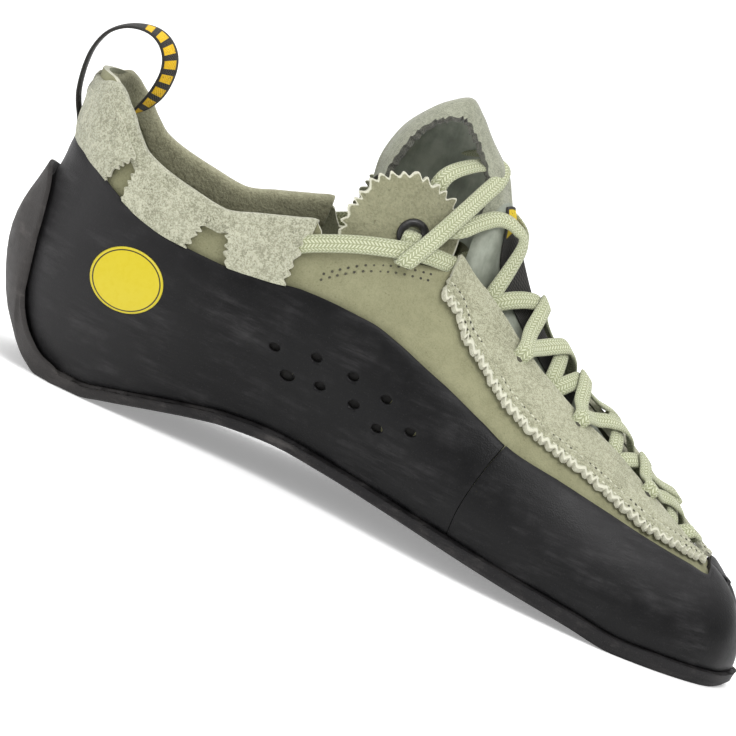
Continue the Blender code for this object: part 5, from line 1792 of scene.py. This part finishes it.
@dataclass
class Lacing:
    """One flat braided lace: tunnel runs, the strands over the tongue, and the crossings to the toe.

    Holes, ridges and routes are in millimetres from the heel. over_route and under_route give the share
    of the throat's half width, the height over the skin and the share of the way to the ridge;
    neck_route gives x, y, z and the face's turn ahead; run_route gives x, z and the height over the skin.
    """

    last: Last
    width: float = 5.2 * MM
    thickness: float = 1.25 * MM
    inner_holes: tuple[float, ...] = (135.0, 148.0, 160.0, 170.0, 184.0, 195.0, 206.0)
    outer_holes: tuple[float, ...] = (146.0, 157.0, 166.0, 176.5, 190.0, 200.5, 210.0)
    ridges: tuple[float, ...] = (147.0, 158.0, 166.5, 181.5, 191.5, 204.5)
    toe_ridge: float = 213.5
    low: float = 1.3 * MM
    step: float = 1.5 * MM
    over_route: tuple[Triple, ...] = (
        (1.34, -1.5, 0.0), (1.27, 1.4, 0.0), (1.17, 3.5, 0.02), (1.0, 3.6, 0.10), (0.66, 2.1, 0.38),
    )
    under_route: tuple[Triple, ...] = (
        (1.30, -2.7, 0.0), (1.12, -2.7, 0.0), (0.97, -1.9, 0.06), (0.66, 0.4, 0.38),
    )
    neck_route: tuple[tuple[float, ...], ...] = (
        (117.0, 20.0, 87.5, 0.1), (121.5, 15.5, 91.5, 0.2), (126.5, 10.5, 94.6, 0.35),
        (132.0, 8.5, 94.0, 0.8), (135.8, 9.0, 89.6, 1.0),
    )
    run_route: tuple[Triple, ...] = (
        (74, 64.0, 1.3), (80, 67.8, 1.6), (86, 70.8, 2.0), (94, 74.2, 2.2), (103, 77.0, 2.2),
        (111, 78.6, 1.9), (118, 78.6, 0.6), (123, 77.2, -2.6),
    )

    def strand(self, knots: Sequence[Knot]) -> Strand:
        """Lace along points with the directions that its face looks in."""
        return Strand([p for p, n in knots], [n for p, n in knots], self.width, self.thickness)

    def end_knots(self, x: float, toward: float, side: Side, over: bool) -> list[Knot]:
        """Knots of a crossing from inside its hole to halfway up the throat.

        Args:
            x: place of the hole, in millimetres from the heel.
            toward: place of the crossing on the ridge.
            side: side of the throat.
            over: True to come out over the eyestay, False to go under the edge of the throat.

        Returns:
            Points and face directions, the hole first.
        """
        knots = []
        for share, lift, along in self.over_route if over else self.under_route:
            place = (x + (toward - x) * along) * MM
            knots.append(self.last.instep(place, share * side.value, lift * MM))
        return knots

    def crossing(self, inner: float, outer: float, ridge: float, lift: float,
                 over: tuple[bool, bool]) -> Strand:
        """One strand from a hole of the inner side over the ridge to a hole of the outer side.

        Args:
            inner: place of the inner side's hole.
            outer: place of the outer side's hole.
            ridge: place of the crossing on the ridge.
            lift: height over the lower strand.
            over: whether each end comes out over its eyestay.

        Returns:
            The strand.
        """
        knots = self.end_knots(inner, ridge, Side.INNER, over[0])
        for share in (-0.3, 0.0, 0.3):
            shift = (inner if share < 0 else outer) - ridge
            knots.append(self.last.instep((ridge + abs(share) * shift) * MM, share, lift + self.low))
        knots += self.end_knots(outer, ridge, Side.OUTER, over[1])[::-1]
        return self.strand(knots)

    def crossings(self) -> list[Strand]:
        """All crossings from the second pair of holes to the toe."""
        strands = []
        for k, ridge in enumerate(self.ridges):
            back_over = k % 2 == 0
            ends = (k % 2 == 1, (k + 1) % 2 == 1)
            forward = (self.inner_holes[k], self.outer_holes[k + 1])
            back = (self.inner_holes[k + 1], self.outer_holes[k])
            strands.append(self.crossing(*forward, ridge, 0.0 if back_over else self.step, ends))
            strands.append(self.crossing(*back, ridge, self.step if back_over else 0.0, ends[::-1]))
        toe = (self.inner_holes[-1], self.outer_holes[-1])
        strands.append(self.crossing(*toe, self.toe_ridge, self.step, (False, False)))
        return strands

    def neck(self, side: Side) -> Strand:
        """Strand from behind an ear flap up over the tongue's flank and down to the first hole."""
        last, turn = self.last, side.value
        start = Vector((0.1, turn * 0.75, 0.65)).normalized()
        knots = [(last.on(side, 110 * MM, 84 * MM, -5.6 * MM), start)]
        for x, y, z, ahead in self.neck_route:
            face = Vector((ahead, turn * 0.55, 0.75)).normalized()
            knots.append((Vector((x * MM, turn * y * MM, z * MM)), face))
        hole = self.inner_holes[0] if side is Side.INNER else self.outer_holes[0] - 9.0
        knots += self.end_knots(hole, 137.0, side, False)[-2::-1]
        return self.strand(knots)

    def top(self, side: Side, lift: float) -> Strand:
        """Strand from inside one ear flap over the ridge, down the other side and up into its eyelet.

        Args:
            side: side on which the strand rises from inside the flap.
            lift: height above the ridge.

        Returns:
            The strand.
        """
        last, turn = self.last, side.value
        other = Side.OUTER if side is Side.INNER else Side.INNER
        wall = Vector((0.0, turn, 0.35)).normalized()
        knots = [
            (last.on(side, 105 * MM, 84 * MM, -8.0 * MM), wall),
            (last.on(side, 106.5 * MM, 90 * MM, -6.4 * MM), wall),
            (Vector((107.5 * MM, turn * 16.0 * MM, 99.5 * MM)), Vector((-0.2, turn * 0.8, 0.6))),
            (Vector((113.0 * MM, turn * 9.5 * MM, 104.8 * MM + lift)), Vector((-0.1, turn * 0.6, 0.8))),
            (Vector((120.2 * MM, 0.5 * turn * MM, 107.2 * MM + lift)), Vector((0.3, 0.0, 1.0))),
        ]
        down = Vector((0.35, -turn * 0.8, 0.45))
        for x, y, z in ((122.0, 5.5, 104.0), (119.4, 12.5, 98.0), (115.4, 21.0, 89.6)):
            knots.append((Vector((x * MM, -turn * y * MM, z * MM + lift / 2)), down))
        out = Vector((0.05, -turn, 0.12)).normalized()
        under = Vector((0, 0, -1))
        for x, z, offset, face in (
            (111.6, 82.4, 3.2, out), (109.4, 78.4, 4.2, out), (107.8, 75.4, 3.9, out),
            (107.0, 73.9, 2.1, under), (106.5, 75.0, 0.3, -out), (106.2, 78.2, -0.2, -out),
            (106.1, 80.8, 0.0, -out), (106.1, 82.2, -2.0, under), (106.1, 82.6, -6.5, under),
        ):
            knots.append((last.on(other, x * MM, z * MM, offset * MM), face))
        return self.strand([(point, face.normalized()) for point, face in knots])

    def run(self, side: Side) -> Strand:
        """Strand out of the front tunnel, along the flap's foot and in under the eyestay."""
        face = Vector((0.0, side.value, 0.15))
        return self.strand([(self.last.on(side, x * MM, z * MM, offset * MM), face)
                            for x, z, offset in self.run_route])

    def build_holes(self) -> None:
        """Paint the shade in the mouths of the lace's holes in the eyestays: dark ovals."""
        shape = bmesh.new()
        for side, row in ((Side.INNER, self.inner_holes), (Side.OUTER, self.outer_holes)):
            for x in row[1::2]:
                place, normal = self.last.instep(x * MM, 1.27 * side.value, 2.0 * MM)
                turned = Matrix.Translation(place) @ normal.to_track_quat("Z", "X").to_matrix().to_4x4()
                spread = turned @ Matrix.Diagonal((3.2, 2.6, 1.0, 1.0))
                bmesh.ops.create_icosphere(shape, subdivisions=3, radius=0.5 * MM, matrix=spread)
        add_piece("lace_hole_shade", shape, (HOLE_SHADE,))

    def build(self) -> None:
        """Make the lace's pieces."""
        ladder = join(strand.build() for strand in [*self.crossings(), *map(self.neck, Side)])
        add_piece("lace_ladder", ladder, (LACE,), ["lace_crossings"])
        tops = [self.top(Side.INNER, 0.0), self.top(Side.OUTER, self.step)]
        add_piece("lace_collar", join(strand.build() for strand in tops), (LACE,), ["lace_top"])
        self.build_holes()
        for side in Side:
            run = self.run(side).build()
            add_piece(f"lace_tunnel_{side.word}", run, (LACE,), [f"lace_run_{side.word}"])


@dataclass
class PullLoop:
    """Woven tape standing up behind the heel, its front leg turned a little to the inner side."""

    last: Last
    width: float = 8.0 * MM
    thickness: float = 1.1 * MM
    twist: float = 0.50

    def build(self) -> None:
        """Make the loop."""
        last = self.last
        knots = [Vector((last.length * x, 0.0, last.ankle_height * z)) for x, z in LOOP_ROUTE]
        middle = Vector((0.045 * last.length, 0.0, 0.90 * last.ankle_height))
        faces = []
        for k, point in enumerate(knots):
            share = k / (len(knots) - 1)
            along = (knots[min(len(knots) - 1, k + 1)] - knots[max(0, k - 1)]).normalized()
            normal = Vector((0, 1, 0)).cross(along)
            if normal.dot(point - middle) < 0:
                normal.negate()
            angle = self.twist * ease(share, 0.42, 0.70) * (1 - ease(share, 0.80, 0.97))
            faces.append((normal * math.cos(angle) + Vector((0, -1, 0)) * math.sin(angle)).normalized())
        strand = Strand(knots, faces, self.width, self.thickness, step=0.6 * MM)
        add_piece("heel_loop", strand.build(), (LOOP_TAPE,), ["pull_loop"])


@dataclass
class SideBadge:
    """Plain printed oval on the inner side of the rear rand."""

    last: Last
    lift: float = 2.25 * MM
    thickness: float = 0.5 * MM

    def build(self) -> None:
        """Make the oval with its softened edge."""
        last = self.last
        cx, cz = last.length * BADGE_PLACE[0], last.ankle_height * BADGE_PLACE[1]

        def place(s: float, t: float) -> Vector:
            """Point of the oval's face; s runs out from its middle."""
            angle = 2 * math.pi * t
            edge = self.thickness * (1 - ease(s, 0.955, 1.0))
            return last.on(Side.INNER, cx + BADGE_HALF[0] * s * math.cos(angle),
                           cz + BADGE_HALF[1] * s * math.sin(angle), self.lift + edge)

        shape = sheet(44, 72, place, closed=True)
        turn_away(shape, Vector((cx, 0.0, cz)))
        add_piece("badge_oval", shape, (BADGE,), ["side_badge"], Wall(0.3 * MM))


@dataclass
class Stitching:
    """Thread stitches and needle holes, the holes as dark beads of painted shade, in rows along the eyestays
    and the quarters.
    """

    last: Last
    length: float = 1.25 * MM
    girth: float = 0.55 * MM
    hole: float = 0.55 * MM
    sunk: float = 0.22 * MM
    quarter_pitch: float = 2.4 * MM
    quarter_line: tuple[Flat, ...] = ((86, 60.5), (92, 65.5), (98, 69.5), (106, 72.6), (116, 74.2))

    def bead(self, shape: Mesh, place: Vector, along: Vector, normal: Vector, size: Triple) -> None:
        """Add one small oval at a place."""
        side = normal.cross(along).normalized()
        along = side.cross(normal).normalized()
        turned = Matrix.Translation(place) @ Matrix((along, side, normal)).transposed().to_4x4()
        spread = turned @ Matrix.Diagonal((*size, 1.0))
        bmesh.ops.create_icosphere(shape, subdivisions=2, radius=0.5, matrix=spread)

    def rows_of_eyestay(self, stay: Eyestay) -> Iterable[list[Knot]]:
        """Points and normals along the two rows of an eyestay."""
        last = self.last
        first, end = stay.span()
        for row in stay.stitch_rows:
            found = []
            for k in range(241):
                u = first + (end - first) * k / 240
                low, high = stay.low_edge(u), last.rim(u)
                tall = (last.skin(u, high) - last.skin(u, low)).length
                if tall < row + 1.5 * MM:
                    continue
                v = low + (high - low) * row / tall
                place = last.point(u, v, last.fit + stay.thickness - self.sunk)
                found.append((place, last.directions(u, v)[0]))
            yield found

    def rows_of_quarter(self, side: Side) -> Iterable[list[Knot]]:
        """Points and normals of the two short rows under the ear flap."""
        for drop in (0.0, 1.8):
            line = [Vector((x, 0.0, z - drop)) for x, z in self.quarter_line]
            found = []
            for k in range(81):
                seen = spline(line, k / 80)
                u, v = self.last.find(side, seen.x * MM, seen.z * MM)
                found.append((self.last.point(u, v, 0.02 * MM), self.last.directions(u, v)[0]))
            yield found

    def lay(self, shape: Mesh, holes: Mesh, row: Sequence[Knot], pitch: float, thread: bool) -> None:
        """Lay stitches and the painted shade of needle holes along a row.

        Args:
            shape: mesh of the stitches.
            holes: mesh of the needle holes' painted shade.
            row: points and normals along the row.
            pitch: distance between stitches.
            thread: False where only the holes show.
        """
        hole = (self.hole * 1.5, self.hole * 1.3, self.hole * 0.5)
        gone, target = 0.0, pitch / 2
        for (a, normal), (b, _) in zip(row, row[1:]):
            gone += (b - a).length
            if gone < target:
                continue
            along = (b - a).normalized()
            if thread:
                self.bead(shape, b, along, normal, (self.length, self.girth, self.girth))
            self.bead(holes, b + along * pitch / 2, along, normal, hole)
            target += pitch

    def build(self) -> None:
        """Make the thread and the painted hole shade of both sides."""
        for side in Side:
            thread, holes = bmesh.new(), bmesh.new()
            stay = Eyestay(self.last, side)
            for row in self.rows_of_eyestay(stay):
                self.lay(thread, holes, row, stay.stitch_pitch, True)
            for row in self.rows_of_quarter(side):
                self.lay(thread, holes, row, self.quarter_pitch, False)
            add_piece(f"stitches_{side.word}", thread, (THREAD,))
            add_piece(f"needle_holes_{side.word}", holes, (HOLE_SHADE,))


@dataclass
class Studio:
    """Pale sweep, soft lights and the camera at the photograph's angle.

    Each lamp has its place, the point it looks at, its two sides and its power.
    """

    roll: float = math.radians(24.6)
    elevation: float = math.radians(9.0)
    lens: float = 200.0
    sensor: float = 36.0
    pixels_per_mm: float = 3.478
    image: int = 736
    aim: Triple = (110.2 * MM, 0.0, 38.6 * MM)
    sky: float = 0.52
    lamps: tuple[tuple[str, Triple, Triple, Flat, float], ...] = (
        ("key", (0.55, -0.75, 1.15), (0.09, 0.0, 0.04), (0.9, 0.7), 13.0),
        ("top", (-0.15, 0.25, 1.35), (0.06, 0.0, 0.05), (1.1, 0.9), 9.0),
        ("heel", (-1.0, -0.55, 0.5), (0.0, 0.0, 0.04), (0.6, 0.8), 4.0),
    )
    sweep: tuple[Flat, ...] = (
        (-1.6, 0.0), (-0.8, 0.0), (0.0, 0.0), (0.9, 0.0), (1.5, 0.0), (2.1, 0.35), (2.4, 1.0), (2.5, 2.4),
    )
    floor_width: float = 6.0

    def build_floor(self) -> None:
        """Make the floor with its backdrop swept up behind."""
        profile = [Vector((0, y, z)) for y, z in self.sweep]

        def place(s: float, t: float) -> Vector:
            """Point of the sweep."""
            point = spline(profile, t)
            return Vector(((s - 0.5) * self.floor_width, point.y, max(0.0, point.z) - 0.02 * MM))

        shape = sheet(4, 60, place)
        bmesh.ops.recalc_face_normals(shape, faces=shape.faces)
        mesh = bpy.data.meshes.new("floor")
        for face in shape.faces:
            face.smooth = True
        shape.to_mesh(mesh)
        mesh.materials.append(FLOOR.material())
        floor = bpy.data.objects.new("floor", mesh)
        bpy.context.scene.collection.objects.link(floor)

    def build_camera(self) -> None:
        """Place the camera: a long lens on the inner side, a little above, rolled toe down."""
        data = bpy.data.cameras.new("camera")
        data.lens, data.sensor_width = self.lens, self.sensor
        data.clip_start, data.clip_end = 0.05, 50.0
        camera = bpy.data.objects.new("camera", data)
        bpy.context.scene.collection.objects.link(camera)
        width = self.image / self.pixels_per_mm * MM
        distance = width * self.lens / self.sensor
        back = Vector((0.0, -math.cos(self.elevation), math.sin(self.elevation)))
        aim = Vector(self.aim) - Vector((ORIGIN_FROM_HEEL, 0, 0))
        turn = back.to_track_quat("Z", "Y").to_matrix() @ Matrix.Rotation(self.roll, 3, "Z")
        camera.matrix_world = Matrix.Translation(aim + back * distance) @ turn.to_4x4()
        bpy.context.scene.camera = camera

    def add_lamp(self, name: str, place: Triple, target: Triple, size: Flat, power: float) -> None:
        """Hang one soft area light."""
        data = bpy.data.lights.new(name, "AREA")
        data.shape, data.size, data.size_y, data.energy = "RECTANGLE", *size, power
        lamp = bpy.data.objects.new(name, data)
        bpy.context.scene.collection.objects.link(lamp)
        lamp.location = place
        lamp.rotation_mode = "QUATERNION"
        lamp.rotation_quaternion = (Vector(place) - Vector(target)).to_track_quat("Z", "Y")

    def build(self) -> None:
        """Make the stage."""
        self.build_floor()
        self.build_camera()
        world = bpy.data.worlds.new("studio")
        world.use_nodes = True
        sky = world.node_tree.nodes["Background"]
        sky.inputs["Color"].default_value = (1.0, 1.0, 1.0, 1.0)
        sky.inputs["Strength"].default_value = self.sky
        bpy.context.scene.world = world
        for lamp in self.lamps:
            self.add_lamp(*lamp)
        bpy.context.scene.view_settings.view_transform = "Standard"


KHAKI = Suede("khaki_leather", tone(154, 153, 122), tone(118, 117, 88), nap=0.45 * MM, speckle=0.45,
              depth=0.12 * MM, patch=6 * MM, sheen=0.12)
EAR_LEATHER = Suede("ear_leather", tone(152, 151, 122), tone(112, 111, 84), nap=0.75 * MM, speckle=0.7,
                    depth=0.45 * MM, pale_edge=(1, 0.93, 0.97))
KHAKI_FUZZ = Suede("khaki_suede", tone(190, 190, 164), tone(108, 108, 80), nap=0.38 * MM, speckle=0.9,
                   depth=0.32 * MM, pale_edge=(1, 0.10, 0.05))
FUZZY = Suede("pale_suede", tone(198, 198, 176), tone(108, 108, 84), nap=0.48 * MM, speckle=1.0,
              depth=0.45 * MM, patch=7 * MM)
# Painted shade: a darker copy of the pale suede for the far side's collar band.
FAR_COLLAR = Suede("shaded_suede", tone(172, 170, 142), tone(126, 124, 98), nap=0.8 * MM, speckle=0.8,
                   depth=0.35 * MM)
LINING_SUEDE = Suede("lining_suede", tone(150, 151, 126), tone(112, 113, 90), nap=0.6 * MM, speckle=0.6,
                     depth=0.25 * MM, sheen=0.15)
RAW_EDGE = Suede("raw_edge", tone(214, 213, 194), tone(170, 169, 146), nap=0.4 * MM, speckle=0.7,
                 depth=0.3 * MM)
HOOD_SUEDE = Suede("hood_suede", tone(168, 170, 150), tone(106, 108, 92), nap=0.42 * MM, speckle=0.7,
                   depth=0.2 * MM)
# Painted shade: dark suede for the hood's cut edge, standing in for its shadow line.
HOOD_RIM_SHADE = Suede("hood_rim_shade", tone(110, 110, 98), tone(52, 52, 48), nap=0.5 * MM, speckle=0.9,
                  depth=0.4 * MM)
TONGUE_CLOTH = Lining("tongue_cloth", tone(150, 155, 142), tone(112, 117, 104))
TONGUE_LINING = Lining("tongue_lining", tone(186, 191, 178), tone(140, 146, 134))
BOARD = Lining("insole_board", tone(150, 146, 126), tone(116, 112, 94), roughness=0.85)
RAND_RUBBER = Rubber("rand_rubber", tone(11, 11, 12), tone(60, 59, 60), gloss=0.42)
RAND_EDGE = Rubber("rand_edge", tone(26, 25, 26), tone(74, 71, 70), gloss=0.6)
SOLE_RUBBER = Rubber("sole_rubber", tone(30, 29, 30), tone(84, 81, 79), gloss=0.6, mottle=7 * MM,
                     tooth=0.16 * MM)
# The second tone is the painted shade of the braid's hollows, also the soil's tone.
LACE = Braid("lace_braid", tone(200, 203, 174), tone(150, 155, 120))
THREAD = Lining("stitch_thread", tone(214, 214, 194), tone(176, 176, 154))
# Painted shade: dark discs at the foot of the rand's holes.
RAND_HOLE_SHADOW = Lining("hole_shade_disc", tone(30, 28, 24), tone(16, 15, 13))
# Painted shade: dark beads for the needle holes and the lace's holes.
HOLE_SHADE = Lining("hole_shade_paint", tone(70, 68, 52), tone(40, 38, 30))
LOOP_TAPE = Webbing("loop_tape", tone(22, 21, 21), tone(236, 190, 20), (42.0, 74.0), (1.7, 6.3))
LABEL = Webbing("label_cloth", tone(24, 24, 24), tone(226, 196, 30), (22.5, 27.4), (1.0, 17.0), blocks=400.0)
BADGE = Badge("badge_print", tone(192, 174, 12), tone(46, 41, 8), tone(200, 186, 50))
BLACK_RING = Hard("eyelet_enamel", tone(22, 21, 22))
FLOOR = Paper("floor_paper", tone(250, 250, 250), 0.30)


def main() -> None:
    """Build the shoe's dress piece by piece, then the stage."""
    logging.basicConfig(level=logging.INFO, format="%(relativeCreated)6d %(name)s: %(message)s")
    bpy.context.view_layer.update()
    last = Last()
    Studio().build()
    Upper(last).build()
    Rands(last).build()
    Outsole(last).build()
    Insole(last).build()
    SideBadge(last).build()
    for side in Side:
        TunnelPads(last, side).build()
        Eyestay(last, side).build()
        EarFlap(last, side).build()
    Tongue(last).build()
    Lacing(last).build()
    PullLoop(last).build()
    Stitching(last).build()
    log.info("finished")


if __name__ == "__main__":
    main()
